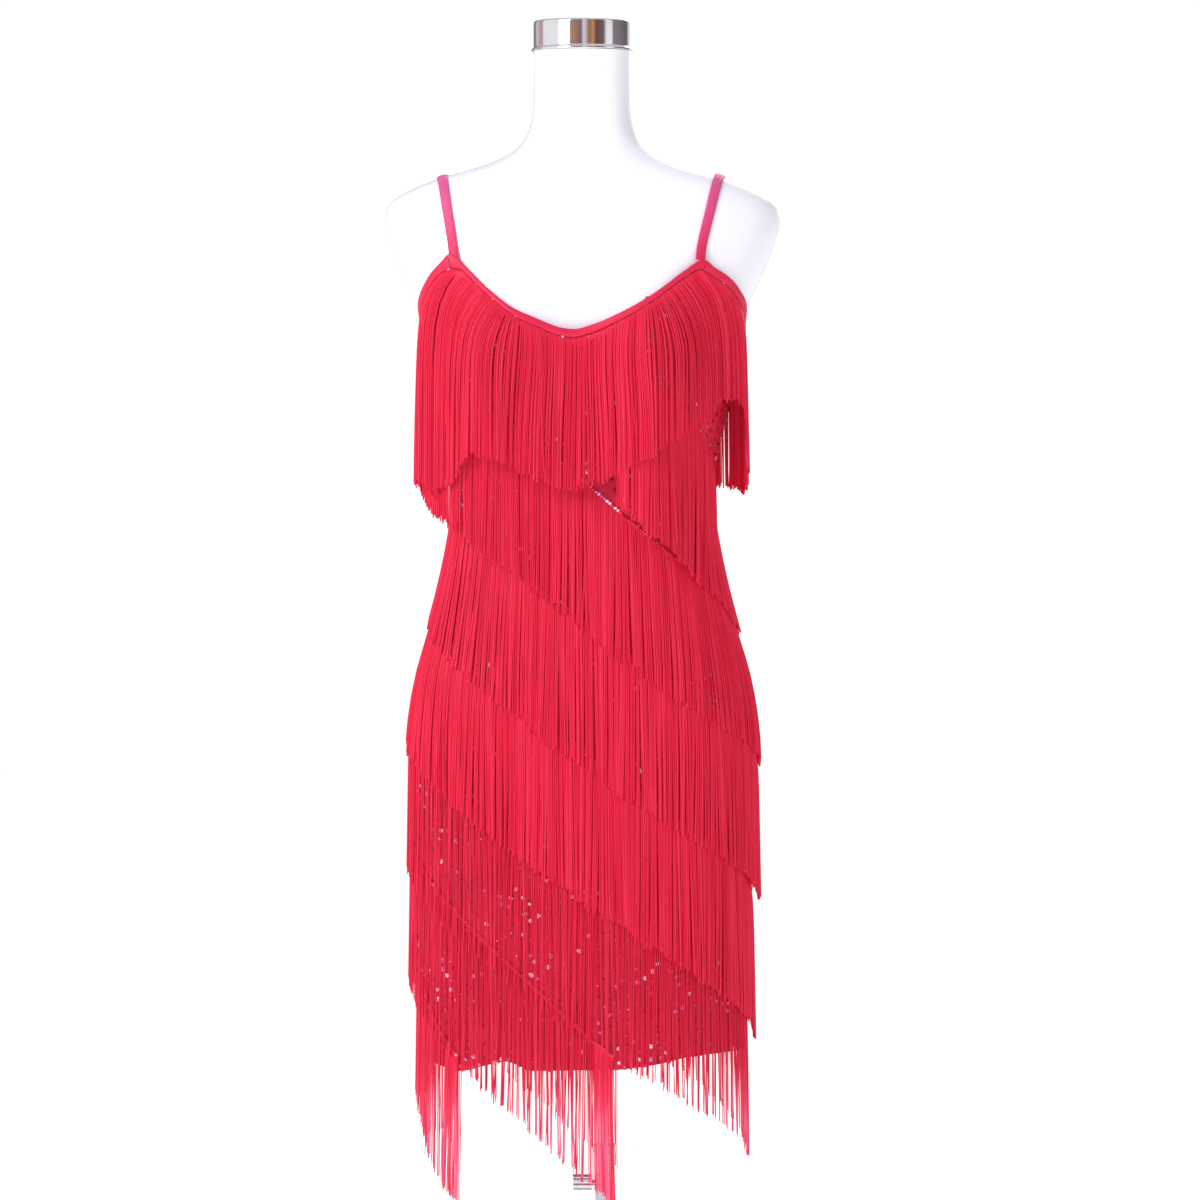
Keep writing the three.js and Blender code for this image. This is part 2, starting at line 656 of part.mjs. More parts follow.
function neckCap() {
  const { radius, height } = CAP;
  const bottom = NECK_TOP + SEAM_GAP;
  return turned([
    [0, bottom],
    [radius + 2, bottom],
    [radius + 2, bottom + 2.5],
    [radius, bottom + 4],
    [radius, bottom + height - 3],
    [radius - 3, bottom + height],
    [0, bottom + height],
  ]);
}

function basePlate() {
  const { radius, thick, boss, bossTop } = BASE;
  return turned(
    [
      [0, 0],
      [radius, 0],
      [radius, thick - 3],
      [radius - 3, thick],
      [boss, thick],
      [TUBE.radius + 4, bossTop],
      [TUBE.radius + SEAM_GAP, bossTop],
      [TUBE.radius + SEAM_GAP, TUBE.bottom - SEAM_GAP],
      [0, TUBE.bottom - SEAM_GAP],
    ],
    40,
  );
}

function outerTube() {
  const { radius, bore, bottom, top } = TUBE;
  const profile = [[bore, bottom], [radius, bottom], [radius, top], [bore, top], [bore, bottom]];
  return turned(profile, 28);
}

// The clamp's sleeve: it stands in the outer tube, and the pole slides in it.
function clampCollar(wasm) {
  const { radius, rim, bottom, rimBottom, top } = COLLAR;
  const bore = POLE.radius + SEAM_GAP;
  const ring = turned(
    [
      [bore, bottom],
      [radius, bottom],
      [radius, rimBottom],
      [rim, rimBottom + 1],
      [rim, top - 1],
      [rim - 1, top],
      [bore, top],
      [bore, bottom],
    ],
    24,
  );
  const hole = new THREE.CylinderGeometry(KNOB.stemRadius + SEAM_GAP, KNOB.stemRadius + SEAM_GAP, 30, 16);
  hole.rotateZ(Math.PI / 2).translate(-radius, 0, KNOB.z);
  return fromManifold(toManifold(wasm, ring).subtract(toManifold(wasm, hole)));
}

// The clamp's knob: a stem that presses on the pole, and a lobed head, turning about X.
function clampKnob(wasm) {
  const lobes = 6;
  const outline = new THREE.Shape();
  const corners = lobes * 4;
  for (let i = 0; i < corners; i += 1) {
    const turn = (i / corners) * Math.PI * 2;
    const reach = KNOB.radius + KNOB.lobe * Math.cos(lobes * turn);
    if (i === 0) outline.moveTo(reach, 0);
    else outline.lineTo(reach * Math.cos(turn), reach * Math.sin(turn));
  }
  outline.closePath();
  const head = new THREE.ExtrudeGeometry(outline, { depth: KNOB.thick, bevelEnabled: false });
  head.rotateY(-Math.PI / 2).translate(-KNOB.reach, 0, KNOB.z);
  const stemFrom = POLE.radius + SEAM_GAP;
  const stemLength = KNOB.reach - stemFrom + 2;
  const stem = new THREE.CylinderGeometry(KNOB.stemRadius, KNOB.stemRadius, stemLength, 16);
  stem.rotateZ(Math.PI / 2).translate(-stemFrom - stemLength / 2, 0, KNOB.z);
  return fromManifold(toManifold(wasm, head).add(toManifold(wasm, stem)));
}

// ---------------------------------------------------------------- cuts and joins
function toManifold(wasm, geometry) {
  const bare = geometry.clone();
  bare.deleteAttribute("normal");
  bare.deleteAttribute("uv");
  const merged = mergeVertices(bare, 1e-4);
  return new wasm.Manifold(
    new wasm.Mesh({
      numProp: 3,
      vertProperties: merged.attributes.position.array,
      triVerts: new Uint32Array(merged.index.array),
    }),
  );
}

function fromManifold(made) {
  const mesh = made.getMesh();
  const geometry = new THREE.BufferGeometry();
  geometry.setAttribute("position", new THREE.BufferAttribute(mesh.vertProperties, 3));
  geometry.setIndex(new THREE.BufferAttribute(mesh.triVerts, 1));
  geometry.computeVertexNormals();
  return geometry;
}

// ---------------------------------------------------------------- the whole part
const wasm = await Module();
wasm.setup();

const part = new THREE.Group();
const piece = (name, geometry, finish) => {
  const mesh = new THREE.Mesh(geometry, finish);
  mesh.name = name;
  part.add(mesh);
};

piece("base_plate", basePlate(), FINISH.chrome);
piece("outer_tube", outerTube(), FINISH.chrome);
piece("clamp_collar", clampCollar(wasm), FINISH.chrome);
piece("clamp_knob", clampKnob(wasm), FINISH.knob);

const flangeTop = FORM_BOTTOM - SEAM_GAP;
const flangeBottom = flangeTop - FLANGE.thick;
const flange = new THREE.CylinderGeometry(FLANGE.radius, FLANGE.radius, FLANGE.thick, 28);
flange.rotateX(Math.PI / 2).translate(0, 0, flangeTop - FLANGE.thick / 2);
piece("form_flange", flange, FINISH.chrome);
const poleLength = flangeBottom - SEAM_GAP - POLE.bottom;
const pole = new THREE.CylinderGeometry(POLE.radius, POLE.radius, poleLength, 24);
pole.rotateX(Math.PI / 2).translate(0, 0, POLE.bottom + poleLength / 2);
piece("inner_pole", pole, FINISH.chrome);

piece("form_torso", formTorso(), FINISH.form);
piece("neck_cap", neckCap().translate(FORM_X, 2, 0), FINISH.chrome);

piece("dress_front", dressPanel(FRONT_ANGLES), FINISH.cloth);
piece("dress_back", dressPanel(BACK_ANGLES), FINISH.cloth);

const rightStrap = RIGHT_COLUMNS[5];
const leftStrap = LEFT_COLUMNS[5];
const backStrap = 180 - BACK_COLUMNS[5];
const buttGap = 0.25; // between two bindings, as an angle
piece("neck_binding", binding(-leftStrap, rightStrap), FINISH.binding);
piece("armhole_binding_right", binding(rightStrap + buttGap, backStrap - buttGap), FINISH.binding);
piece("armhole_binding_left", binding(-backStrap + buttGap, -leftStrap - buttGap), FINISH.binding);
piece("back_binding", binding(backStrap, 360 - backStrap), FINISH.binding);
piece("strap_right", strap(STRAP_SIDES.right), FINISH.binding);
piece("strap_left", strap(STRAP_SIDES.left), FINISH.binding);

piece("fringe_bust_front", bustFringe(0), FINISH.fringe);
piece("fringe_bust_back", bustFringe(180), FINISH.fringe);
for (const row of FRINGES) {
  piece(`fringe_${row.name}_front`, rowFringe(row, 0), FINISH.fringe);
  piece(`fringe_${row.name}_back`, rowFringe(row, 180), FINISH.fringe);
}

export default part;
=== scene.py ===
import math

import bmesh
import bpy
import numpy as np
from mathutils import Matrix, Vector


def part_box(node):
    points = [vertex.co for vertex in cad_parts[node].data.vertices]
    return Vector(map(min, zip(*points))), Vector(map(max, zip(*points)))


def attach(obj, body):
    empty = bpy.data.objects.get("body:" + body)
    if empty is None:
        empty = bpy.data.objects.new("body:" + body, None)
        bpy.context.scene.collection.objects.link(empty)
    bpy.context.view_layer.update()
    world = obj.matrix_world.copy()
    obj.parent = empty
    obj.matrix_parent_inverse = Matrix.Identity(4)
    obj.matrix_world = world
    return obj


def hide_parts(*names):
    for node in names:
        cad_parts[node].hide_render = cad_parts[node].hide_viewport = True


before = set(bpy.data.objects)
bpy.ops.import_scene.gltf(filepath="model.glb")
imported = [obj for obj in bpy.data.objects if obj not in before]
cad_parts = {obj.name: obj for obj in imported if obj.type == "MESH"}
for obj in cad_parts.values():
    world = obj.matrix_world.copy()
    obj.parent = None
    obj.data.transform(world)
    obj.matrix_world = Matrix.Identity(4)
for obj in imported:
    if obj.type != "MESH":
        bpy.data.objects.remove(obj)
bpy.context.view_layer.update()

bl_info = {
    "name": "Fringed Flapper Dress",
    "version": (1, 0, 0),
    "blender": (4, 5, 0),
    "location": "3D View > Sidebar > Dress",
    "description": "A fringed flapper dress on a limbless dress form",
    "category": "Add Mesh",
}

MM = 0.001  # sizes below are in millimetres, Blender's are in metres
UPPER = "form_and_dress"  # the body that the stand's clamp carries

# ---------------------------------------------------------------- sizes shared with the solids
FORM_X = -22  # the form's centre plane, left of the pole
FORM_INSET = 2.6
FORM_BOTTOM = 640
FORM_FOOT = ((0, 20), (1.5, 14), (6, 9.5))  # the form's rounded foot: height and inset
FOOT_TOP = 14
FOOT_INSET = 5.4
FOOT_FADE = 40
NECK_TOP = 1486
EASE = 3  # clearance between the form and the cloth
CLOTH = 2
CLOTH_OUT = EASE + CLOTH
HEM_Z = 486
HEM_WAVE = 4
HEM_WAVES = 5
HEM_TURN = 70
HIP_Z = 790
SKIRT_FOLD = 3
SKIRT_FOLDS = 6
FOLD_TURN = 40
FOLD_TOP = 640
BINDING_WIDTH = 8
BINDING_THICK = 1.6
BINDING_LIFT = 0.6
INNER_LIFT = 0.6  # the knit's inner face clears the solid's by this much
PEAK_RISE = {"right": 2, "left": 6, "back": 4}  # the binding climbs this far up each strap
PEAK_HALF = 7.5
STRAP_WIDTH = 9.5
STRAP_THICK = 1.8
STRAP_LIFT = 1.8
STRAP_FRONT_X = {"right": 115.5, "left": 126.5}  # its foot's way out from the centre
STRAP_TOP_X = {"right": 137.5, "left": 141}
STRAP_LEAN = 1.5
STRAP_BACK_X = 101
STRAP_FRONT_Z = 1277.6
STRAP_BACK_RAY = 211.5
STRAP_SINK = 0.8  # its lower face sits this far inside the solid's
STRAP_END_LIFT = 3  # its ends climb this far onto the bindings
STRAP_END_TURN = 12
BUTT_DEG = 0.25  # the gap between two bindings that meet at a strap
TAPE_HEIGHT = 6
TAPE_THICK = 1.2
TAPE_LIFT = 0.5
ROW_SPACE = 30
SIDE_SEAM_DEG = 0.14
RIGHT_STRAP_DEG, LEFT_STRAP_DEG = 36.8, 41.2
BACK_STRAP_DEG = 180 - 37.5

# The figure: height, half width, depth to the front and to the back.
FIGURE = np.array([
    (470, 156, 99, 102), (560, 159, 101, 105), (640, 162, 102, 109), (700, 165, 103, 113),
    (770, 167, 104, 117), (810, 166, 103, 117), (860, 159, 101, 112), (910, 146, 95, 103),
    (960, 134, 89, 93), (1010, 125, 85, 85), (1045, 122, 84, 84), (1090, 130, 88, 89),
    (1140, 143, 95, 97), (1185, 152, 100, 102), (1215, 158, 100, 103), (1240, 169, 97, 102),
    (1268, 181, 91, 100), (1298, 192, 84, 95), (1320, 197, 77, 89), (1336, 192, 72, 85),
    (1350, 170, 68, 81), (1362, 138, 64, 77), (1371, 106, 60, 73), (1382, 78, 56, 69),
    (1397, 60, 52, 64), (1420, 51, 49, 58), (1455, 49, 48, 54), (1492, 49, 48, 52),
], dtype=float)
HEIGHT, HALF, FRONT, BACK = range(4)
ROUNDNESS = 2.3
BUST_Z, BUST_X, BUST_RISE, BUST_SPREAD_X, BUST_SPREAD_Z = 1188, 84, 27, 46, 52

# Top edges of the dress: share of the half width from the centre, and height.
RIGHT_EDGE = np.array([
    (0, 1210), (0.09, 1214.5), (0.16, 1219), (0.3, 1231), (0.42, 1246), (0.53, 1264), (0.6, 1274),
    (0.64, 1275), (0.7, 1269), (0.79, 1260), (0.87, 1248), (0.95, 1231), (1, 1206),
])
LEFT_EDGE = np.array([
    (0, 1210), (0.06, 1208.6), (0.16, 1210.8), (0.3, 1220), (0.42, 1230.5), (0.54, 1251.6),
    (0.62, 1270), (0.65, 1276), (0.7, 1276.5), (0.77, 1270.5), (0.86, 1255), (0.95, 1233), (1, 1206),
])
BACK_EDGE = np.array([(0, 1192), (0.3, 1198), (0.6, 1216), (0.65, 1216), (0.8, 1210), (1, 1206)])

# How far the front's hem rides above its even line, by the angle round the body.
HEM_SAG = np.array([
    (-90, 0), (-67, -8), (-46, -7), (-33, 3), (-25, 6), (-15, -5), (9, -7), (22, 0), (38, 10),
    (48, 10), (73, 3), (90, 0),
], dtype=float)

# The rows of fringe: height at the centre, rise from there to the left seam, fall to the right
# seam, and drop.
ROWS = {
    "row2": (1213, 161, 161, 141), "row3": (1058, 145, 145, 141), "row4": (921, 143, 143, 141),
    "row5": (791, 152, 152, 141), "row6": (655, 172, 136, 141), "row7": (517, 194, 177, 141),
    "row8": (342, 245, 245, 141),
}
BUST_LENGTH = 146
# How much longer the bust's strands are, by the degrees that they are sewn aside of the centre.
RIGHT_EXTRA = np.array([
    (22, 0), (27, -6), (33, -16), (46, -18), (56, -14), (63, 0), (70, 16), (80, 7), (90, -6),
])
LEFT_EXTRA = np.array([
    (22, 0), (27, 5), (29, 24), (31, 46), (34, 64), (36.5, 78), (38, 84), (40, 79), (42.5, 70),
    (44.5, 62), (50, 55), (58, 42), (64, 32), (72, 15), (82, -6), (90, -15),
])
BACK_EXTRA = np.array([(60, 0), (78, 6), (90, -10)])
ROW_EXTRA = {"row2": 7}
SLANT = 29  # the strands beside the straps lean outwards by this much
SLANT_SPAN = (12, 38, 40, 74)  # degrees aside where this starts, is full, fades and is gone
SLANT_FADE = 28
SEAM_CLOSE = 3  # the strands beside a side seam lean over it by this much
SEAM_REACH = 7
SEAM_FROM = 89  # a row whose end is past this angle ends at the seam
SHEER_ROWS = ("row6", "row7", "row8")
SHEER_THINNESS = 0.66
SHEER_SPREAD = 1.3
PAINTED_END_GLARE = 0.45  # painted glare: how far their ends below the hem are painted towards the palest colour, standing for bright light through them
ENDING_ROWS = ("row7", "row8")  # these run out at the hem
END_BUNCH = 22
END_CROWDING = 3.4
ROW8_SHORT, ROW8_SHORT_AT, ROW8_SHORT_HALF = 27, 28, 16


# ---------------------------------------------------------------- the figure
def read_table(keys, values, at):
    """A smooth curve through a table's rows, read at many places."""
    last = len(keys) - 1
    at = np.clip(at, keys[0], keys[-1])
    i = np.minimum(np.searchsorted(keys[1:], at, side="left"), last - 1)
    index = np.arange(last + 1)
    low = np.maximum(index - 1, 0)
    high = np.minimum(index + 1, last)
    slopes = (values[high] - values[low]) / (keys[high] - keys[low])
    span = keys[i + 1] - keys[i]
    t = (at - keys[i]) / span
    rise = values[i + 1] - values[i]
    limit = 3 * np.abs(rise)
    a = np.clip(slopes[i] * span, -limit, limit)
    b = np.clip(slopes[i + 1] * span, -limit, limit)
    bend = (1 - t) * a - t * b + (2 * t - 1) * rise
    return values[i] + t * rise + t * (1 - t) * bend


def smoothstep(low, high, at):
    t = np.clip((np.asarray(at, dtype=float) - low) / (high - low), 0, 1)
    return t * t * (3 - 2 * t)


def figure_xy(angle, z):
    """The figure's section at angles round the body (0 front, 90 right, 180 back)."""
    sine = np.sin(np.radians(angle))
    cosine = np.cos(np.radians(angle))
    power = 2 / ROUNDNESS
    half = read_table(FIGURE[:, HEIGHT], FIGURE[:, HALF], z)
    front = read_table(FIGURE[:, HEIGHT], FIGURE[:, FRONT], z)
    back = read_table(FIGURE[:, HEIGHT], FIGURE[:, BACK], z)
    x = half * np.sign(sine) * np.abs(sine) ** power
    y = -np.where(cosine > 0, front, back) * np.sign(cosine) * np.abs(cosine) ** power
    aside = (np.abs(x) - BUST_X) / BUST_SPREAD_X
    above = (z - BUST_Z) / BUST_SPREAD_Z
    bust = BUST_RISE * np.sqrt(np.maximum(cosine, 0)) * np.exp(-aside**2 - above**2)
    return np.stack([x, y - bust], axis=-1)


def figure_out(angle, z):
    """The outward direction of the figure's section there."""
    along = figure_xy(angle + 0.5, z) - figure_xy(angle - 0.5, z)
    out = np.stack([along[..., 1], -along[..., 0]], axis=-1)
    return out / np.linalg.norm(out, axis=-1, keepdims=True)


def skirt_fold(angle, z):
    """The skirt's soft folds, which grow towards the hem."""
    grown = 1 - smoothstep(HEM_Z, FOLD_TOP, z)
    return SKIRT_FOLD * grown * np.sin(np.radians(SKIRT_FOLDS * angle + FOLD_TURN))


def in_frame(xy, z):
    """Points of the figure's plane, placed in the part's frame."""
    z = np.broadcast_to(z, xy.shape[:-1])
    return np.stack([xy[..., 0] + FORM_X, xy[..., 1], z], axis=-1)


def figure_point(angle, z, out=0.0):
    angle, z, out = np.broadcast_arrays(*(np.asarray(v, dtype=float) for v in (angle, z, out)))
    away = (out + skirt_fold(angle, z))[..., None]
    return in_frame(figure_xy(angle, z) + figure_out(angle, z) * away, z)


def top_edge(angle):
    """The height of the dress's top edge at an angle round the body."""
    sine = np.sin(np.radians(angle))
    across = np.abs(sine) ** (2 / ROUNDNESS)
    right, left, back = (read_table(edge[:, 0], edge[:, 1], across)
                         for edge in (RIGHT_EDGE, LEFT_EDGE, BACK_EDGE))
    return np.where(np.cos(np.radians(angle)) >= 0, np.where(sine >= 0, right, left), back)


def hem_line(angle):
    """The hem's even line, where the rows of fringe run out."""
    return HEM_Z + HEM_WAVE * np.sin(np.radians(HEM_WAVES * angle + HEM_TURN))


def hem_edge(angle):
    """The height of the hem, which sags and rides up round its even line."""
    return hem_line(angle) + read_table(HEM_SAG[:, 0], HEM_SAG[:, 1], angle)


def way_along(line):
    """The way from a line's start to each of its points."""
    return np.concatenate([[0], np.cumsum(np.linalg.norm(np.diff(line, axis=0), axis=1))])


def way_to_side():
    """The way from the front centre to the side seam on the cloth, by the degree, as a share."""
    degrees = np.arange(91.0)
    way = way_along(figure_xy(degrees, HIP_Z))
    return degrees, way / way[-1]


WAY_DEGREES, WAY_SHARES = way_to_side()


def row_height(row, angle):
    """The height of a row's tape: both panels' rows meet at the side seams."""
    centre, rise, fall, _drop = ROWS[row]
    aside = 90 - np.abs(np.abs((np.asarray(angle) + 180) % 360 - 180) - 90)
    climb = np.where(np.sin(np.radians(angle)) < 0, rise, -fall)
    return centre + climb * read_table(WAY_DEGREES, WAY_SHARES, aside)


FALL_STEP = 3.0


def hang(angle, top, length, shares, lift_at, sway):
    """Lines that hang from (angle, top), with a point at each share of their length. Each falls
    straight, and where the body under it swells out it is pushed straight out. sway moves them
    along the cloth on their way. Each ends where its own length is used up."""
    step = FALL_STEP
    count = int(math.ceil(length.max() / step)) + 1
    foot = angle.copy()
    at = figure_xy(angle, top) + figure_out(angle, top) * skirt_fold(angle, top)[..., None]
    track = [at.copy()]
    feet = [foot.copy()]
    for k in range(1, count + 1):
        z = top - step * k
        along = figure_xy(foot + 0.5, z) - figure_xy(foot - 0.5, z)
        pace = np.linalg.norm(along, axis=-1, keepdims=True)
        at = at + along / pace * (sway(step * k) - sway(step * (k - 1)))[..., None]
        foot = foot + ((at - figure_xy(foot, z)) * along).sum(-1) / (pace[..., 0] ** 2)
        out = figure_out(foot, z)
        body = figure_xy(foot, z) + out * skirt_fold(foot, z)[..., None]
        inside = ((at - body) * out).sum(-1) < 0
        at = np.where(inside[..., None], body, at)
        track.append(at.copy())
        feet.append(foot.copy())
    track = np.array(track)
    feet = np.array(feet)
    fallen = step * np.arange(count + 1.0)
    moved = np.linalg.norm(np.diff(track, axis=0), axis=2)
    used = np.concatenate([np.zeros((1, len(angle))), np.cumsum(np.hypot(moved, step), axis=0)])
    lines = np.zeros((len(angle), len(shares), 3))
    turns = np.zeros((len(angle), len(shares)))
    for i in range(len(angle)):
        way = length[i] * np.asarray(shares)
        for k in range(2):
            lines[i, :, k] = np.interp(way, used[:, i], track[:, i, k])
        turns[i] = np.interp(way, used[:, i], feet[:, i])
        lines[i, :, 2] = top[i] - np.interp(way, used[:, i], fallen)
    for k, share in enumerate(shares):
        out = figure_out(turns[:, k], lines[:, k, 2])
        lines[:, k, :2] += out * np.asarray(lift_at(share))[..., None]
    lines[..., 0] += FORM_X
    return lines


# ---------------------------------------------------------------- meshes
def new_object(name, mesh, material=None):
    thing = bpy.data.objects.new(name, mesh)
    bpy.context.scene.collection.objects.link(thing)
    if material is not None:
        mesh.materials.append(material)
    return thing


def mesh_of(name, points, faces, edges=(), smooth=True):
    """A mesh from points in millimetres."""
    mesh = bpy.data.meshes.new(name)
    mesh.from_pydata((np.asarray(points).reshape(-1, 3) * MM).tolist(), list(edges), list(faces))
    if smooth and len(faces):
        mesh.shade_smooth()
    mesh.update()
    return mesh


def point_values(mesh, name, values, kind="FLOAT"):
    """Stores a number, or a vector, for each point of a mesh."""
    data = mesh.attributes.new(name, kind, "POINT").data
    key = "vector" if kind == "FLOAT_VECTOR" else "value"
    data.foreach_set(key, np.asarray(values, dtype=np.float32).ravel())


def grid_faces(rows, columns, wrap=False, start=0, flip=False):
    faces = []
    for r in range(rows - 1):
        for c in range(columns if wrap else columns - 1):
            nxt = (c + 1) % columns
            face = [start + r * columns + c, start + r * columns + nxt,
                    start + (r + 1) * columns + nxt, start + (r + 1) * columns + c]
            faces.append(face[::-1] if flip else face)
    return faces


MERGE = 1e-6  # points closer than this, in metres, are one


def outward(mesh, sharp):
    """Merges doubles, points the faces outwards and keeps edges over an angle crisp."""
    work = bmesh.new()
    work.from_mesh(mesh)
    bmesh.ops.remove_doubles(work, verts=work.verts, dist=MERGE)
    bmesh.ops.recalc_face_normals(work, faces=work.faces)
    work.to_mesh(mesh)
    work.free()
    mesh.shade_smooth()
    mesh.set_sharp_from_angle(angle=math.radians(sharp))
    mesh.update()
    return mesh


def wall_mesh(name, outer, inner):
    """A closed wall between an outer and an inner grid of points, with a UV map in metres."""
    rows, columns = outer.shape[:2]
    count = rows * columns
    points = np.concatenate([outer.reshape(-1, 3), inner.reshape(-1, 3)])
    faces = grid_faces(rows, columns) + grid_faces(rows, columns, start=count, flip=True)
    ring = list(range(columns))
    ring += [r * columns + columns - 1 for r in range(1, rows)]
    ring += [(rows - 1) * columns + c for c in range(columns - 2, -1, -1)]
    ring += [r * columns for r in range(rows - 2, 0, -1)]
    for a, b in zip(ring, ring[1:] + ring[:1]):
        faces.append([b, a, a + count, b + count])
    mesh = mesh_of(name, points, faces)
    steps = np.linalg.norm(np.diff(outer, axis=1), axis=2)
    across = np.concatenate([np.zeros((rows, 1)), np.cumsum(steps, axis=1)], axis=1)
    across = across - across[:, columns // 2:columns // 2 + 1]
    uv = np.stack([across, outer[..., 2]], axis=-1).reshape(-1, 2) * MM
    uv = np.concatenate([uv, uv])
    layer = mesh.uv_layers.new(name="cloth")
    corners = np.zeros(len(mesh.loops), dtype=int)
    mesh.loops.foreach_get("vertex_index", corners)
    layer.data.foreach_set("uv", uv[corners].ravel())
    return outward(mesh, 40)


def band_mesh(name, sections):
    """A solid band from closed sections along its way: an array of stations by section points."""
    stations, count = sections.shape[:2]
    faces = grid_faces(stations, count, wrap=True)
    faces.append(list(range(count))[::-1])
    faces.append([(stations - 1) * count + i for i in range(count)])
    return outward(mesh_of(name, sections, faces), 60)


def lathe_mesh(name, profile, centre, segments):
    """A turned solid from (radius, height) corners that start and end on the axis."""
    turns = np.linspace(0, 2 * np.pi, segments, endpoint=False)
    rings = [np.stack([centre[0] + r * np.cos(turns), centre[1] + r * np.sin(turns),
                       np.full(segments, float(z))], axis=-1) for r, z in profile]
    mesh = mesh_of(name, np.array(rings), grid_faces(len(profile), segments, wrap=True))
    work = bmesh.new()
    work.from_mesh(mesh)
    bmesh.ops.remove_doubles(work, verts=work.verts, dist=MERGE)
    bmesh.ops.dissolve_degenerate(work, dist=MERGE / 10, edges=work.edges)
    work.to_mesh(mesh)
    work.free()
    return outward(mesh, 30)


def rounded(corners, radius, steps):
    """Profile corners with each inner corner cut to a small arc."""
    points = [corners[0]]
    for before, here, after in zip(corners, corners[1:], corners[2:]):
        here = np.array(here, dtype=float)
        towards = [np.array(p, dtype=float) - here for p in (before, after)]
        cut = min(radius, *(np.linalg.norm(t) * 0.45 for t in towards))
        start, end = (here + t / np.linalg.norm(t) * cut for t in towards)
        for i in range(steps + 1):
            t = i / steps
            points.append(tuple((1 - t) ** 2 * start + 2 * t * (1 - t) * here + t * t * end))
    points.append(corners[-1])
    return points


# ---------------------------------------------------------------- nodes
def linear(hex_colour):
    """An sRGB hex colour as linear red, green, blue and alpha."""
    parts = [int(hex_colour[i:i + 2], 16) / 255 for i in (1, 3, 5)]
    return (*(c / 12.92 if c <= 0.04045 else ((c + 0.055) / 1.055) ** 2.4 for c in parts), 1.0)


def add(tree, kind, inputs=None, stops=(), **options):
    """Adds a node with its options and, for a ramp, its (place, hex colour) stops. An input is a
    value, or the socket or the node, by its first output, that it is linked to."""
    made = tree.nodes.new(kind)
    for key, value in options.items():
        setattr(made, key, value)
    for key, value in (inputs or {}).items():
        if isinstance(value, bpy.types.Node):
            value = value.outputs[0]
        if isinstance(value, bpy.types.NodeSocket):
            tree.links.new(value, made.inputs[key])
        else:
            made.inputs[key].default_value = value
    if stops:
        elements = made.color_ramp.elements
        while len(elements) < len(stops):
            elements.new(0.5)
        for element, (place, colour) in zip(elements, stops):
            element.position = place
            element.color = linear(colour)
    return made


def new_material(name):
    """A material, its empty node tree and its Object coordinates."""
    made = bpy.data.materials.new(name)
    made.use_nodes = True
    tree = made.node_tree
    tree.nodes.clear()
    return made, tree, add(tree, "ShaderNodeTexCoord").outputs["Object"]


def surfaced(made, **surface):
    """Ends a material with a principled surface, whose own sockets hold values or are linked."""
    inputs = {name.replace("_", " "): value for name, value in surface.items()}
    shader = add(made.node_tree, "ShaderNodeBsdfPrincipled", inputs)
    add(made.node_tree, "ShaderNodeOutputMaterial", {"Surface": shader})
    return made


def settings():
    return bpy.context.scene.flapper_dress


def bands(pitch):
    """The scale at which a wave texture's bands are this many millimetres apart."""
    return 1 / (pitch * MM * 20)


def rayon_fringe():
    """Rayon chainette: a bright filament yarn with a soft silk-like sheen, each strand a little
    lighter or darker than the next, with chain loops as a fine bump along it."""
    made, tree, place = new_material("rayon_chainette_fringe")
    shade = add(tree, "ShaderNodeAttribute", attribute_name="shade").outputs["Fac"]
    stretched = add(tree, "ShaderNodeMapping", {"Vector": place, "Scale": (90, 90, 9)})
    cloud = add(tree, "ShaderNodeTexNoise", {"Vector": stretched, "Scale": 1.0, "Detail": 3.0})
    faded = add(tree, "ShaderNodeMath", {0: cloud, 1: 0.35}, operation="MULTIPLY")
    mixed = add(tree, "ShaderNodeMath", {0: shade, 1: 0.65, 2: faded}, operation="MULTIPLY_ADD")
    # The ramp's last stop is the painted glare of the thin rows' ends below the hem.
    colour = add(tree, "ShaderNodeValToRGB", {"Fac": mixed}, [
        (0.2, settings().fringe_shadow), (0.52, settings().fringe_colour),
        (0.75, settings().fringe_light), (1.0, settings().fringe_glare_colour)])
    # The chain's loops are 1.6 mm long; drawn at 3 mm so that they show.
    loops = add(tree, "ShaderNodeTexWave", {"Vector": place, "Scale": bands(3), "Distortion": 2.0},
                bands_direction="Z")
    relief = add(tree, "ShaderNodeBump", {
        "Height": loops.outputs["Fac"], "Strength": 0.5, "Distance": 0.3 * MM})
    # A faint glow stands for the light that thin bright strands pass on to each other.
    return surfaced(made, Base_Color=colour, Roughness=0.5, Specular_IOR_Level=0.22,
                    Sheen_Weight=0.12, Sheen_Roughness=0.4, Sheen_Tint=linear("#FF5078"),
                    Emission_Color=colour, Emission_Strength=0.22, Normal=relief)


def polyester_knit():
    """Polyester knit in deep red: matt, with fine wales, seen between the strands and at the hem."""
    made, tree, _place = new_material("red_polyester_knit")
    uv = add(tree, "ShaderNodeUVMap", uv_map="cloth")
    cloud = add(tree, "ShaderNodeTexNoise", {"Vector": uv, "Scale": 22.0, "Detail": 4.0})
    colour = add(tree, "ShaderNodeValToRGB", {"Fac": cloud}, [
        (0.3, settings().cloth_shadow), (0.72, settings().cloth_colour)])
    # Wales stand 1.2 mm apart; drawn 2 mm apart so that they show.
    wales = add(tree, "ShaderNodeTexWave", {
        "Vector": uv, "Scale": bands(2), "Distortion": 0.6, "Detail": 1.0}, bands_direction="X")
    relief = add(tree, "ShaderNodeBump", {
        "Height": wales.outputs["Fac"], "Strength": 0.7, "Distance": 0.35 * MM})
    return surfaced(made, Base_Color=colour, Roughness=0.62, Specular_IOR_Level=0.3,
                    Sheen_Weight=0.15, Sheen_Roughness=0.4, Sheen_Tint=linear("#F04068"),
                    Normal=relief)


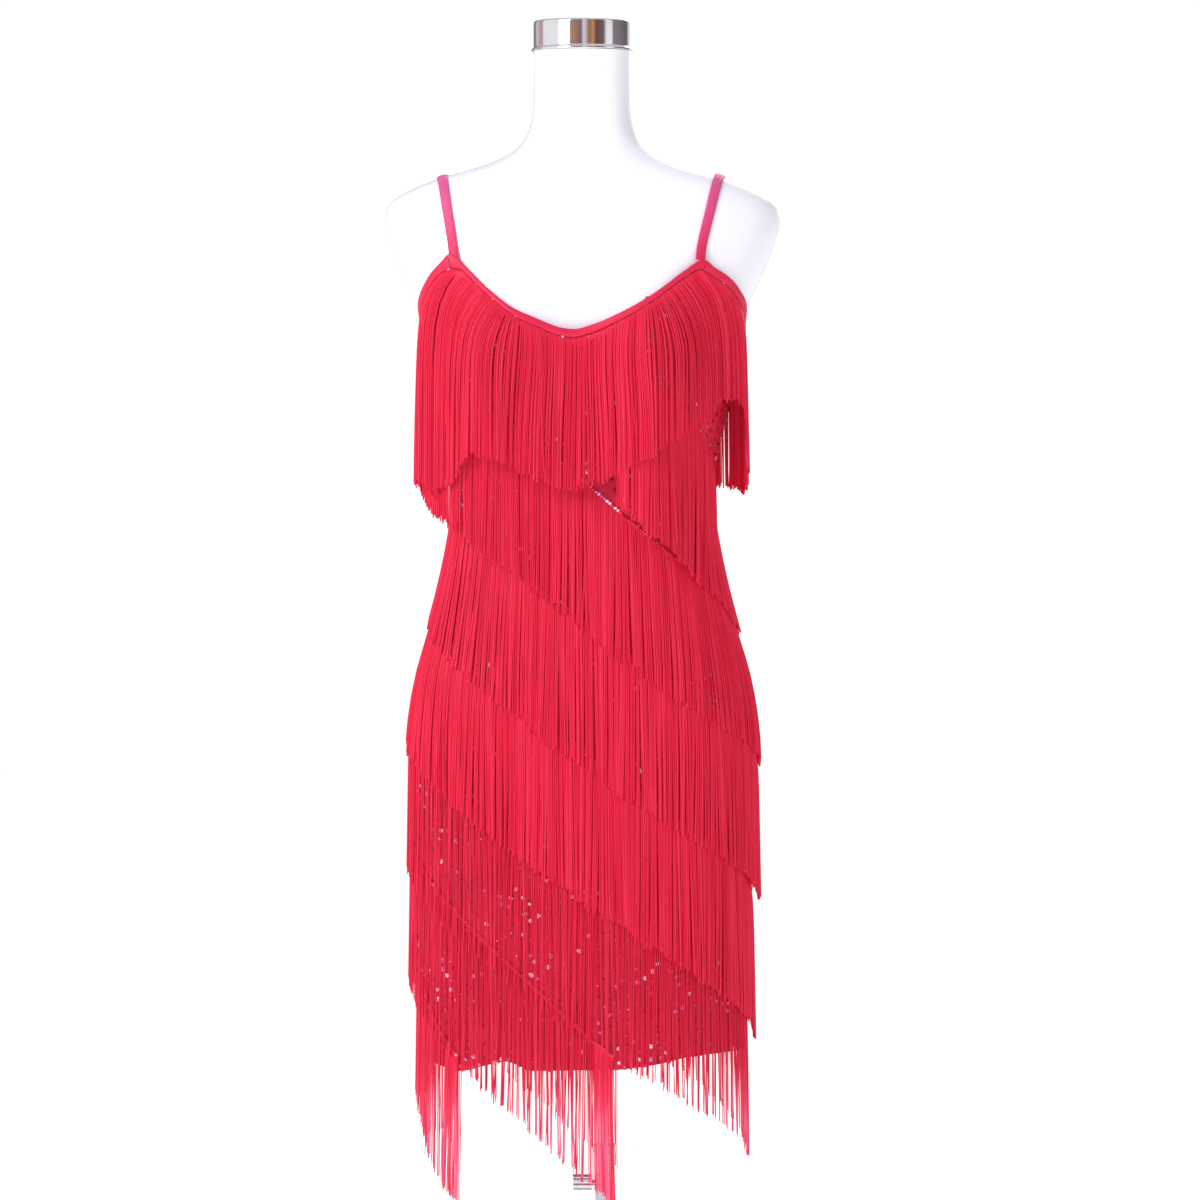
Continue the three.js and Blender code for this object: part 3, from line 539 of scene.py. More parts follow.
def satin_binding():
    """Polyester satin bias tape: smooth, with a soft gloss and faint diagonal twill lines."""
    made, tree, place = new_material("red_satin_bias_tape")
    cloud = add(tree, "ShaderNodeTexNoise", {"Vector": place, "Scale": 60.0, "Detail": 3.0})
    colour = add(tree, "ShaderNodeValToRGB", {"Fac": cloud}, [
        (0.3, settings().binding_shadow), (0.7, settings().binding_colour)])
    # Painted glare: from the straps' feet up over the shoulders the tape is painted pinker, standing for the
    # haze of bright light there.
    height = add(tree, "ShaderNodeSeparateXYZ", {"Vector": place}).outputs[2]
    up = add(tree, "ShaderNodeMapRange", {"Value": height, "From Min": 1.275, "From Max": 1.36})
    painted_strap_glare = add(tree, "ShaderNodeMix", {0: up, 6: colour, 7: linear(settings().strap_glare_colour)},
                 data_type="RGBA").outputs[2]
    # Twill lines 0.4 mm apart are drawn 1.4 mm apart so that they show.
    turned = add(tree, "ShaderNodeMapping", {"Vector": place, "Rotation": (0, math.radians(45), 0)})
    twill = add(tree, "ShaderNodeTexWave", {"Vector": turned, "Scale": bands(1.4)})
    relief = add(tree, "ShaderNodeBump", {
        "Height": twill.outputs["Fac"], "Strength": 0.5, "Distance": 0.15 * MM})
    return surfaced(made, Base_Color=painted_strap_glare, Roughness=0.5, Specular_IOR_Level=0.3,
                    Sheen_Weight=0.5, Sheen_Roughness=0.4, Sheen_Tint=linear("#FF8CB4"),
                    Normal=relief)


def polyester_thread():
    """Spun polyester sewing thread: matt, slightly paler than the tape it sews."""
    made, tree, place = new_material("red_sewing_thread")
    cloud = add(tree, "ShaderNodeTexNoise", {"Vector": place, "Scale": 900.0})
    colour = add(tree, "ShaderNodeValToRGB", {"Fac": cloud}, [(0.3, "#C02045"), (0.7, "#E8486C")])
    return surfaced(made, Base_Color=colour, Roughness=0.6)


def iridescent_sequins():
    """Cup sequins of coated plastic film: mirror-like, with a thin film and a random tilt, red and pink;
    where a high tint falls in a noise patch they get painted glints, a pale lilac to white base colour.
    """
    made, tree, place = new_material("iridescent_sequin_film")
    tint = add(tree, "ShaderNodeAttribute", attribute_name="tint").outputs["Fac"]
    patches = add(tree, "ShaderNodeTexNoise", {"Vector": place, "Scale": 34.0, "Detail": 1.0})
    glint_patches = add(tree, "ShaderNodeMapRange", {"Value": patches, "From Min": 0.53, "From Max": 0.66})
    painted_glint = add(tree, "ShaderNodeMath", {0: tint, 1: glint_patches}, operation="MULTIPLY")
    # Painted glints: the ramp's lilac and near-white stops stand for lamps flashing in the sequins.
    colour = add(tree, "ShaderNodeValToRGB", {"Fac": painted_glint}, [
        (0.0, "#C01438"), (0.25, "#DA2450"), (0.45, "#E85A90"), (0.6, "#C8A0F0"), (0.8, "#FFF0FA")])
    return surfaced(made, Base_Color=colour, Metallic=0.3, Roughness=0.3, Coat_Weight=0.4,
                    Coat_Roughness=0.15, Thin_Film_Thickness=420.0, Thin_Film_IOR=1.45)


def polystyrene_shell():
    """Painted polystyrene: a smooth white gloss shell with the faintest orange peel."""
    made, tree, place = new_material("white_gloss_polystyrene")
    cloud = add(tree, "ShaderNodeTexNoise", {"Vector": place, "Scale": 6.0, "Detail": 2.0})
    colour = add(tree, "ShaderNodeValToRGB", {"Fac": cloud}, [
        (0.3, settings().form_shadow), (0.7, settings().form_colour)])
    peel = add(tree, "ShaderNodeTexNoise", {"Vector": place, "Scale": 450.0, "Detail": 1.0})
    relief = add(tree, "ShaderNodeBump", {"Height": peel, "Strength": 0.25, "Distance": 0.03 * MM})
    return surfaced(made, Base_Color=colour, Roughness=0.3, Coat_Weight=0.35, Coat_Roughness=0.15,
                    Normal=relief)


def plated(made, tree, pattern, smooth, rough, dark, light, **surface):
    """Ends a plated metal, whose pattern moves its roughness and its colour."""
    roughness = add(tree, "ShaderNodeMapRange", {"Value": pattern, "To Min": smooth, "To Max": rough})
    colour = add(tree, "ShaderNodeValToRGB", {"Fac": pattern}, [(0.3, dark), (0.7, light)])
    return surfaced(made, Base_Color=colour, Metallic=1.0, Roughness=roughness, **surface)


def polished_chrome():
    """Chromium plate over turned steel: a bright mirror with hair-fine turning marks."""
    made, tree, place = new_material("polished_chrome_plate")
    smears = add(tree, "ShaderNodeTexNoise", {"Vector": place, "Scale": 40.0, "Detail": 4.0})
    marks = add(tree, "ShaderNodeMapping", {"Vector": place, "Scale": (1, 1, 60)})
    fine = add(tree, "ShaderNodeTexNoise", {"Vector": marks, "Scale": 60.0})
    relief = add(tree, "ShaderNodeBump", {"Height": fine, "Strength": 0.3, "Distance": 0.01 * MM})
    return plated(made, tree, smears, 0.05, 0.14, "#D8D8DA", "#EAEAEC", Normal=relief)


def cast_chrome():
    """Chromium plate over a cast knob: softer than on turned steel, with shallow casting waves."""
    made, tree, place = new_material("chrome_plated_casting")
    cast = add(tree, "ShaderNodeTexNoise", {"Vector": place, "Scale": 260.0, "Detail": 2.0})
    relief = add(tree, "ShaderNodeBump", {"Height": cast, "Strength": 0.4, "Distance": 0.1 * MM})
    return plated(made, tree, cast, 0.14, 0.28, "#B4B4B8", "#D6D6DA", Normal=relief)


def satin_chrome():
    """Chromium plate over brushed steel tube: a soft grey mirror with fine lines round it."""
    made, tree, place = new_material("satin_chrome_plate")
    lines = add(tree, "ShaderNodeMapping", {"Vector": place, "Scale": (1, 1, 40)})
    brushed = add(tree, "ShaderNodeTexNoise", {"Vector": lines, "Scale": 50.0, "Detail": 3.0})
    return plated(made, tree, brushed, 0.2, 0.3, "#A2A4AA", "#B6B8BE")


def silver_lacquer():
    """Silver stoving lacquer on a steel plate: a grey coat with a slight metal glint."""
    made, tree, place = new_material("silver_stoving_lacquer")
    flakes = add(tree, "ShaderNodeTexNoise", {"Vector": place, "Scale": 300.0, "Detail": 2.0})
    colour = add(tree, "ShaderNodeValToRGB", {"Fac": flakes}, [(0.3, "#A0A2A8"), (0.7, "#AEB0B6")])
    relief = add(tree, "ShaderNodeBump", {"Height": flakes, "Strength": 0.3, "Distance": 0.02 * MM})
    return surfaced(made, Base_Color=colour, Metallic=0.35, Roughness=0.38, Normal=relief)


STAND_FINISHES = {
    "base_plate": silver_lacquer, "outer_tube": satin_chrome, "clamp_collar": satin_chrome,
    "inner_pole": satin_chrome, "form_flange": satin_chrome, "clamp_knob": cast_chrome,
}
MADE = {}


def finish_of(maker):
    """The material that a function makes, made once."""
    if maker not in MADE:
        MADE[maker] = maker()
    return MADE[maker]


def settle(piece, body, slot, *replaced):
    """Puts a finished piece on its body and hides the solids it stands for; its slot is not used."""
    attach(piece, body)
    if replaced:
        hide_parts(*replaced)
    return piece


# ---------------------------------------------------------------- geometry nodes
def new_tree(name, **asked):
    """A node tree whose named inputs are of the kinds asked for, and those inputs' sockets."""
    tree = bpy.data.node_groups.new(name, "GeometryNodeTree")
    tree.interface.new_socket(name="Geometry", in_out="OUTPUT", socket_type="NodeSocketGeometry")
    for label, kind in {"Geometry": "Geometry", **asked}.items():
        tree.interface.new_socket(name=label.replace("_", " "), in_out="INPUT",
                                  socket_type="NodeSocket" + kind)
    group = tree.nodes.new("NodeGroupInput")
    return tree, {socket.name: socket for socket in group.outputs if socket.name}


def realized(tree, geometry, material):
    """Ends a tree: its instances are made real and get their material."""
    real = add(tree, "GeometryNodeRealizeInstances", {"Geometry": geometry})
    done = add(tree, "GeometryNodeSetMaterial", {"Geometry": real, "Material": material})
    add(tree, "NodeGroupOutput", {"Geometry": done})
    return tree


def strand_tree():
    """Turns loose edges into round strands of one diameter."""
    tree, ask = new_tree("fringe strands", Strand_Diameter="Float", Sides="Int", Material="Material")
    radius = add(tree, "ShaderNodeMath", {0: ask["Strand Diameter"], 1: 0.5}, operation="MULTIPLY")
    ring = add(tree, "GeometryNodeCurvePrimitiveCircle", {"Resolution": ask["Sides"], "Radius": radius})
    lines = add(tree, "GeometryNodeMeshToCurve", {"Mesh": ask["Geometry"]})
    tubes = add(tree, "GeometryNodeCurveToMesh", {
        "Curve": lines, "Profile Curve": ring, "Fill Caps": True})
    smooth = add(tree, "GeometryNodeSetShadeSmooth", {"Geometry": tubes})
    return realized(tree, smooth, ask["Material"])


def sequin_disc(tree, diameter):
    """A shallow cup sequin: a low cone of seven sides."""
    half = add(tree, "ShaderNodeMath", {0: diameter, 1: 0.5}, operation="MULTIPLY")
    deep = add(tree, "ShaderNodeMath", {0: diameter, 1: 0.16}, operation="MULTIPLY")
    return add(tree, "GeometryNodeMeshCone", {
        "Vertices": 7, "Radius Top": 0.0, "Radius Bottom": half, "Depth": deep})


def tilted(tree, rotation, seed, most):
    """A rotation with a random tilt of up to most radians."""
    tilt = add(tree, "FunctionNodeRandomValue", {
        "Min": (-most, -most, -3.14), "Max": (most, most, 3.14), "Seed": seed},
        data_type="FLOAT_VECTOR")
    euler = add(tree, "FunctionNodeEulerToRotation", {"Euler": tilt})
    return add(tree, "FunctionNodeRotateRotation", {"Rotation": rotation, "Rotate By": euler},
               rotation_space="LOCAL")


def scattered(tree, points, instance, rotation, seed, material, dull=0.0, bright=1.0):
    """Instances on points, each with a random tint between dull and bright; in the sequins' material a high
    tint in a glinting patch is a painted glint.
    """
    placed = add(tree, "GeometryNodeInstanceOnPoints", {
        "Points": points, "Instance": instance, "Rotation": rotation})
    tint = add(tree, "FunctionNodeRandomValue", {2: dull, 3: bright, "Seed": seed}, data_type="FLOAT")
    kept = add(tree, "GeometryNodeStoreNamedAttribute", {
        "Geometry": placed, "Name": "tint", "Value": tint.outputs[1]},
        domain="INSTANCE", data_type="FLOAT")
    return realized(tree, kept, material)


def cloth_sequin_tree():
    """Scatters sequins over a surface, none closer than their spacing."""
    tree, ask = new_tree("sewn sequins", Sequin_Diameter="Float", Spacing="Float", Density="Float",
                         Seed="Int", Material="Material")
    spread = add(tree, "GeometryNodeDistributePointsOnFaces", {
        "Mesh": ask["Geometry"], "Distance Min": ask["Spacing"], "Density Max": ask["Density"],
        "Seed": ask["Seed"]}, distribute_method="POISSON")
    rotation = tilted(tree, spread.outputs["Rotation"], 5, 0.5)
    return scattered(tree, spread, sequin_disc(tree, ask["Sequin Diameter"]), rotation, 9,
                     ask["Material"], 0.0, 1.25)


def aimed(tree, attribute):
    """A rotation that turns Z towards a vector attribute of each point."""
    vector = add(tree, "GeometryNodeInputNamedAttribute", {"Name": attribute},
                 data_type="FLOAT_VECTOR")
    return add(tree, "FunctionNodeAlignRotationToVector", {"Vector": vector}, axis="Z")


def trim_sequin_tree():
    """Sews a sequin at each point, facing the point's way."""
    tree, ask = new_tree("sequin trim", Sequin_Diameter="Float", Material="Material")
    rotation = tilted(tree, aimed(tree, "facing"), 3, 0.35)
    return scattered(tree, ask["Geometry"], sequin_disc(tree, ask["Sequin Diameter"]), rotation, 4,
                     ask["Material"], 0.2, 1.3)


def stitch_tree():
    """Lays a short length of thread at each point, along the point's direction."""
    tree, ask = new_tree("stitches", Stitch_Length="Float", Thread_Diameter="Float",
                         Material="Material")
    half = add(tree, "ShaderNodeMath", {0: ask["Thread Diameter"], 1: 0.5}, operation="MULTIPLY")
    thread = add(tree, "GeometryNodeMeshCylinder", {
        "Vertices": 5, "Radius": half, "Depth": ask["Stitch Length"]})
    return scattered(tree, ask["Geometry"], thread, aimed(tree, "along"), 1, ask["Material"])


TREES = {}


def grown(name, mesh, maker, **values):
    """A plain mesh of a node tree's result on a mesh, as a new object."""
    if maker not in TREES:
        TREES[maker] = maker()
    source = new_object(name + "_source", mesh)
    modifier = source.modifiers.new("grown", "NODES")
    modifier.node_group = TREES[maker]
    sockets = {item.name: item.identifier for item in TREES[maker].interface.items_tree
               if item.in_out == "INPUT"}
    for label, value in values.items():
        modifier[sockets[label.replace("_", " ")]] = value
    graph = bpy.context.evaluated_depsgraph_get()
    result = bpy.data.meshes.new_from_object(source.evaluated_get(graph))
    source.modifiers.remove(modifier)
    bpy.data.objects.remove(source)
    result.name = name
    return new_object(name, result)


def join_meshes(target, extra):
    """Adds another mesh's faces to a mesh."""
    work = bmesh.new()
    work.from_mesh(target)
    work.from_mesh(extra)
    work.to_mesh(target)
    work.free()
    target.update()


# ---------------------------------------------------------------- soft noise
def waves(at, seed, longest, octaves=3):
    """Smooth noise of about one unit along a length in millimetres, from a fixed seed."""
    draw = np.random.default_rng(seed)
    total = np.zeros_like(at, dtype=float)
    for octave in range(octaves):
        length = longest / 1.9**octave * draw.uniform(0.85, 1.15)
        total += np.sin(2 * np.pi * at / length + draw.uniform(0, 2 * np.pi)) / 1.6**octave
    return total / 1.6


def unevenness(at, seed, wave):
    """One of the fringe's waves: how far it goes, its longest length and its own seed."""
    high, longest, own = wave
    return high * waves(at, seed + own, longest)


# ---------------------------------------------------------------- the cloth
# Soft creases of the cloth: angle, height, half width in degrees, half height and depth in mm.
CREASES = (
    (-62, 1120, 26, 7, 0.5), (58, 1095, 30, 6, 0.5), (-35, 1040, 40, 7, 0.6), (48, 1022, 34, 8, 0.6),
    (118, 1105, 28, 8, 0.5), (205, 1050, 42, 8, 0.6), (156, 1018, 30, 6, 0.5), (240, 1086, 30, 7, 0.5),
    (-22, 505, 6, 60, 1.6), (14, 500, 5, 46, 1.4), (52, 512, 7, 70, 1.8), (-70, 508, 8, 64, 1.6),
    (170, 506, 7, 60, 1.7), (205, 500, 5, 50, 1.4), (232, 515, 8, 66, 1.8), (128, 505, 6, 52, 1.5),
)


def crease(angle, z):
    total = np.zeros(np.broadcast(angle, z).shape)
    for at_angle, at_z, wide, tall, deep in CREASES:
        aside = ((angle - at_angle + 180) % 360 - 180) / wide
        above = (z - at_z) / tall
        total -= deep * np.exp(-aside**2 - above**2)
    return total


CLOTH_GRID = (110, 120)  # columns and rows
SEQUIN_GRID = (60, 70)
SEQUIN_DENSITY = 26000.0  # a square metre, before their spacing thins them
GATHER_TOP = 1.2  # the grid's rows gather towards the top edge


def panel_grid(middle, out, grid):
    """A panel's points at a distance out from the figure."""
    columns, rows = grid
    side = 90 - SIDE_SEAM_DEG
    angles = middle + np.linspace(-side, side, columns)
    up = 1 - (1 - np.linspace(0, 1, rows)[:, None]) ** GATHER_TOP
    hem = hem_edge(angles)
    z = hem + (top_edge(angles) - hem) * up
    angle = np.broadcast_to(angles, z.shape)
    return figure_point(angle, z, out + crease(angle, z))


def cloth_panel(node, middle):
    outer = panel_grid(middle, CLOTH_OUT, CLOTH_GRID)
    inner = panel_grid(middle, EASE + INNER_LIFT, CLOTH_GRID)
    mesh = wall_mesh(node + "_knit", outer, inner)
    panel = new_object(node + "_knit", mesh, finish_of(polyester_knit))
    return settle(panel, UPPER, "sequin_cloth", node)


def sewn_sequins(name, middle):
    """Sequins scattered over a panel, facing outwards."""
    grid = panel_grid(middle, CLOTH_OUT + 0.5, SEQUIN_GRID)
    mesh = mesh_of(name, grid, grid_faces(*grid.shape[:2]))
    work = grown(name, mesh, cloth_sequin_tree, Sequin_Diameter=settings().sequin_diameter,
                 Spacing=settings().sequin_spacing, Density=SEQUIN_DENSITY, Seed=12,
                 Material=finish_of(iridescent_sequins))
    return settle(work, UPPER, "sequin_cloth")


# ---------------------------------------------------------------- bindings and straps
def tape_section(count, rise):
    """A domed section: (share of the width, share of the thickness) pairs, closed."""
    top = [(t, rise + (1 - rise) * math.sin(math.pi * t) ** 0.6) for t in np.linspace(0, 1, count)]
    return [(0.0, 0.0), *top, (1.0, 0.0)]


def strap_peak(angle, z):
    """How far the binding climbs where a strap is sewn in."""
    xy = figure_xy(angle, z)
    right = xy[..., 0] > 0
    front = xy[..., 1] < 0
    foot = np.where(front, np.where(right, STRAP_FRONT_X["right"], STRAP_FRONT_X["left"]), STRAP_BACK_X)
    rise = np.where(front, np.where(right, PEAK_RISE["right"], PEAK_RISE["left"]), PEAK_RISE["back"])
    return rise * np.exp(-(((np.abs(xy[..., 0]) - foot) / PEAK_HALF) ** 2))


def binding_mesh(name, start, end):
    steps = int((end - start) / 0.6)
    angles = np.linspace(start, end, steps)
    top = top_edge(angles) + BINDING_THICK / 2
    peak = strap_peak(angles, top)
    ring = []
    for share, thick in tape_section(9, 0.35):
        z = top - BINDING_WIDTH + (BINDING_WIDTH + peak) * share
        ring.append(figure_point(angles, z, CLOTH_OUT + BINDING_LIFT + BINDING_THICK * thick))
    return band_mesh(name, np.stack(ring, axis=1))


def shoulder_point(x, ray, lift):
    """Where rays in planes of constant x, rising from inside the chest, meet the form."""
    heart_y = 4.0
    toward_y = -np.cos(np.radians(ray))
    toward_z = np.sin(np.radians(ray))
    near = np.zeros_like(ray)
    far = np.full_like(ray, 140.0)
    for _ in range(30):
        reach = (near + far) / 2
        y = heart_y + reach * toward_y
        z = STRAP_FRONT_Z + reach * toward_z
        half = read_table(FIGURE[:, HEIGHT], FIGURE[:, HALF], z)
        depth = np.where(y < 0, read_table(FIGURE[:, HEIGHT], FIGURE[:, FRONT], z),
                         read_table(FIGURE[:, HEIGHT], FIGURE[:, BACK], z))
        inside = (np.abs(x) / half) ** ROUNDNESS + (np.abs(y) / depth) ** ROUNDNESS < 1
        near = np.where(inside, reach, near)
        far = np.where(inside, far, reach)
    reach = near + lift
    return np.stack([x + FORM_X, heart_y + reach * toward_y, STRAP_FRONT_Z + reach * toward_z], axis=-1)


def strap_way(side):
    """Angles of the rays that a strap's stations lie on, and at each how far aside it runs and
    how far its ends climb."""
    rays = np.linspace(0, STRAP_BACK_RAY, 90)
    foot, top = STRAP_FRONT_X[side], STRAP_TOP_X[side]
    front = foot + (top - foot) * np.sin(np.radians(np.minimum(rays, 90))) ** STRAP_LEAN
    back = top + (STRAP_BACK_X - top) * (rays - 90) / (STRAP_BACK_RAY - 90)
    away = np.minimum(rays, STRAP_BACK_RAY - rays)  # from the nearer end
    ends = STRAP_END_LIFT * (1 - smoothstep(0, STRAP_END_TURN, away))
    return rays, np.where(rays < 90, front, back), ends


def strap_mesh(name, side):
    rays, way, ends = strap_way(side)
    sign = 1 if side == "right" else -1
    ring = []
    for share, thick in tape_section(9, 0.45):
        x = sign * (way + STRAP_WIDTH * (share - 0.5))
        ring.append(shoulder_point(x, rays, STRAP_LIFT - STRAP_SINK + ends + STRAP_THICK * thick))
    return band_mesh(name, np.stack(ring, axis=1))


STITCH_PITCH = 3.2
STITCH_SHARE = 0.72  # of the pitch that a stitch is long
THREAD = 0.45


def stitch_points(line):
    """Points at even steps along a line in millimetres, each with the line's direction."""
    way = way_along(line)
    at = np.arange(STITCH_PITCH / 2, way[-1], STITCH_PITCH)
    points, ahead, back = (
        np.stack([np.interp(at + shift, way, line[:, k]) for k in range(3)], axis=-1)
        for shift in (0, 0.5, -0.5))
    return points, ahead - back


def stitches(name, lines):
    points, along = (np.concatenate(part) for part in zip(*(stitch_points(line) for line in lines)))
    mesh = mesh_of(name, points, [])
    point_values(mesh, "along", along, "FLOAT_VECTOR")
    return grown(name, mesh, stitch_tree, Stitch_Length=STITCH_PITCH * STITCH_SHARE * MM,
                 Thread_Diameter=THREAD * MM, Material=finish_of(polyester_thread))


def binding_stitch_line(start, end):
    angles = np.linspace(start, end, 240)
    z = top_edge(angles) + BINDING_THICK / 2 - BINDING_WIDTH + 1.5
    return figure_point(angles, z, CLOTH_OUT + BINDING_LIFT + BINDING_THICK * 0.82)


# ---------------------------------------------------------------- fringe
SHARES = (0, 0.035, 0.09, 0.17, 0.27, 0.39, 0.53, 0.69, 0.85, 1)  # where a strand has points
STRAND_SIDES = 4
# By the kind of row: how far over its tape's foot a strand starts, plies at the front and the
# back, how much the strands gather, and how far out they stand at their roots and their tips.
KINDS = {
    "bust": (TAPE_HEIGHT + 1.2, (3, 3), 0.25, (1.9, 2.8)),
    "full": (3.0, (3, 3), 0.25, (1.6, 3.2)),
    "sheer": (3.0, (2, 1), 0.62, (1.6, 2.6)),
}
PLY_LIFT = 0.55  # each ply stands this much further out than the one under it
ROOT_OUT = 1.1  # where it leaves its tape, from the cloth
SWELL = 14  # how quickly a strand comes away from its tape
KNOT_GAPS = (4, 11)  # strands gather towards places this far apart
STRAYS = 0.03  # share of the strands that are badly out of line
STRAY_LENGTH = (-9, 5)
STRAY_DRIFT = 3.5
LENGTH_JITTER = 1.7
DRIFT_JITTER = 0.7
SHADE_JITTER = 0.09
TAPE_EDGE = 1.5  # between the bust's tape and its binding
TRIM_DOWN = 1.6  # from the tape's upper edge to its sequins
# Uneven strands: how far a wave along the tape goes, its longest length in mm and its own seed.
LENGTH_WAVE = (2.0, 70, 31)
DRIFT_WAVES = ((2.4, 85, 7), (1.2, 17, 8))
SHADE_WAVE = (0.1, 26, 11)
STAND_OFF_WAVE = (0.5, 23, 5)


def tape_span(row, middle):
    """The part of a row that lies on the front or the back: its first and last angle."""
    side = 90 - SIDE_SEAM_DEG * 3
    angles = middle + np.arange(-side, side, 0.25)
    if row == "bust":
        return angles[0], angles[-1]
    z = row_height(row, angles)
    fits = (z < top_edge(angles) - BINDING_WIDTH - ROW_SPACE) & (z > hem_line(angles) + 2)
    return angles[fits][0], angles[fits][-1]


def tape_height(row, angle):
    if row == "bust":
        return top_edge(angle) - BINDING_WIDTH - TAPE_HEIGHT - TAPE_EDGE
    return row_height(row, angle)


def tape_way(row, middle):
    """A row's tape as many close angles, with the way along it in millimetres."""
    angles = np.linspace(*tape_span(row, middle), 500)
    return angles, way_along(figure_point(angles, tape_height(row, angles), CLOTH_OUT))


def heading_tape(name, row, middle):
    """The woven tape that the strands are sewn to."""
    angles, way = tape_way(row, middle)
    at = np.interp(np.linspace(0, way[-1], int(way[-1] / 4) + 2), way, angles)
    low = tape_height(row, at)
    ring = []
    for share, thick in ((0, 0), (0, 0.7), (0.15, 1), (0.85, 1), (1, 0.7), (1, 0)):
        out = CLOTH_OUT + TAPE_LIFT + TAPE_THICK * thick
        ring.append(figure_point(at, low + TAPE_HEIGHT * share, out))
    mesh = band_mesh(name, np.stack(ring, axis=1))
    point_values(mesh, "shade", np.full(len(mesh.vertices), 0.45))
    return mesh


def sewn_at(row, middle, end, offset, draw):
    """Where a ply's strands are sewn along their tape, which ends at end."""
    spacing = settings().strand_spacing / MM * (SHEER_SPREAD if row in SHEER_ROWS else 1)
    at = np.arange(spacing * offset, end - 0.4, spacing)
    if row in ENDING_ROWS and middle == 0:
        close = np.arange(end - END_BUNCH, end - 0.4, spacing / END_CROWDING)
        at = np.concatenate([at[at < end - END_BUNCH], close])
    return np.clip(at + draw.uniform(-0.4, 0.4, len(at)) * spacing, 0.2, end - 0.2)


def kind_of(row):
    return "bust" if row == "bust" else "sheer" if row in SHEER_ROWS else "full"


def even_length(row, middle, at, angle):
    """The strands' lengths before they are made uneven."""
    if row == "bust":
        aside = np.abs(angle - middle)
        right, left, back = (np.interp(aside, table[:, 0], table[:, 1])
                             for table in (RIGHT_EXTRA, LEFT_EXTRA, BACK_EXTRA))
        return BUST_LENGTH + (np.where(angle > 0, right, left) if middle == 0 else back)
    length = KINDS[kind_of(row)][0] + ROWS[row][3] + ROW_EXTRA.get(row, 0) + np.zeros(len(at))
    if row == "row8":
        length = length - ROW8_SHORT * np.exp(-(((at - ROW8_SHORT_AT) / ROW8_SHORT_HALF) ** 2))
    return length


def strand_slant(row, middle, at, angle, angles, end):
    """How far strands lean aside: outwards beside the straps, and over the side seams."""
    slant = np.zeros(len(at))
    if row == "bust" and middle == 0:
        aside = np.abs(angle - middle)
        start, full, fading, gone = SLANT_SPAN
        slant = SLANT * np.sign(angle) * smoothstep(start, full, aside)
        slant = slant * (1 - smoothstep(fading, gone, aside))
    return slant + SEAM_CLOSE * (
        np.exp(-(end - at) / SEAM_REACH) * (angles[-1] > middle + SEAM_FROM)
        - np.exp(-at / SEAM_REACH) * (angles[0] < middle - SEAM_FROM))


def strand_lines(row, middle, seed):
    """The strands of a fringe as lines in millimetres, and the shade of each point."""
    draw = np.random.default_rng(seed)
    angles, way = tape_way(row, middle)
    end = way[-1]
    root, plies, gather, (near, far) = KINDS[kind_of(row)]
    plies = plies[0 if middle == 0 else 1]
    knots = np.cumsum(draw.uniform(*KNOT_GAPS, int(end / 7) + 12)) - 20
    lines = []
    shades = []
    for ply in range(plies):
        at = sewn_at(row, middle, end, 0.3 + ply / plies, draw)
        angle = np.interp(at, way, angles)
        top = tape_height(row, angle) + root
        length = even_length(row, middle, at, angle) + unevenness(at, seed, LENGTH_WAVE)
        length = length + draw.normal(0, LENGTH_JITTER, len(at))
        stray = draw.random(len(at)) < STRAYS
        length = length + np.where(stray, draw.uniform(*STRAY_LENGTH, len(at)), 0)
        drift = sum(unevenness(at, seed, wave) for wave in DRIFT_WAVES)
        drift = drift + draw.normal(0, DRIFT_JITTER, len(at))
        drift = drift + np.where(stray, draw.normal(0, STRAY_DRIFT, len(at)), 0)
        nearest = knots[np.abs(at[:, None] - knots[None, :]).argmin(axis=1)]
        bunched = gather * (nearest - at)
        if row in ENDING_ROWS and middle == 0:
            bunched = bunched * (at < end - END_BUNCH)
        slant = strand_slant(row, middle, at, angle, angles, end)

        def sway(fallen):
            share = np.clip(fallen / BUST_LENGTH, 0, 1)
            leaning = 1 - np.exp(-fallen / SLANT_FADE)
            return drift * share**1.7 + bunched * share**1.2 + slant * leaning

        high, longest, own = STAND_OFF_WAVE
        stand_off = draw.uniform(0, 0.8, len(at)) + high * (1 + waves(at, seed + own + ply, longest))

        def lift_at(share):
            swell = 1 - math.exp(-share * SWELL)
            up = near + ply * PLY_LIFT + (far - near) * share + stand_off * (0.3 + share)
            return CLOTH_OUT + ROOT_OUT + swell * (up - ROOT_OUT)

        hung = hang(angle, top, length, SHARES, lift_at, sway)
        lines.append(hung)
        base = 0.5 + unevenness(at, seed, SHADE_WAVE) + draw.normal(0, SHADE_JITTER, len(at))
        shade = np.repeat(base[:, None], len(SHARES), axis=1)
        if row in SHEER_ROWS:
            # Painted glare: below the hem the thin rows' strands are painted paler towards their ends,
            # standing for bright light through them.
            painted_hem_glare = PAINTED_END_GLARE * (1 - smoothstep(HEM_Z - 60, HEM_Z + 10, hung[..., 2]))
            shade = shade + painted_hem_glare * (0.5 + draw.random((len(at), 1)))
        shades.append(np.clip(shade, 0, 1.3))
    return np.concatenate(lines), np.concatenate(shades)


def fringe_piece(node, row, middle, seed):
    lines, shades = strand_lines(row, middle, seed)
    count, steps = lines.shape[:2]
    starts = np.arange(count)[:, None] * steps + np.arange(steps - 1)[None, :]
    edges = np.stack([starts.ravel(), starts.ravel() + 1], axis=-1)
    mesh = mesh_of(node, lines, [], edges.tolist())
    point_values(mesh, "shade", shades)
    diameter = settings().strand_diameter * (SHEER_THINNESS if row in SHEER_ROWS else 1)
    strands = grown(node + "_strands", mesh, strand_tree, Strand_Diameter=diameter,
                    Sides=STRAND_SIDES, Material=finish_of(rayon_fringe))
    join_meshes(strands.data, heading_tape(node + "_tape", row, middle))
    return settle(strands, UPPER, "fringe", node)


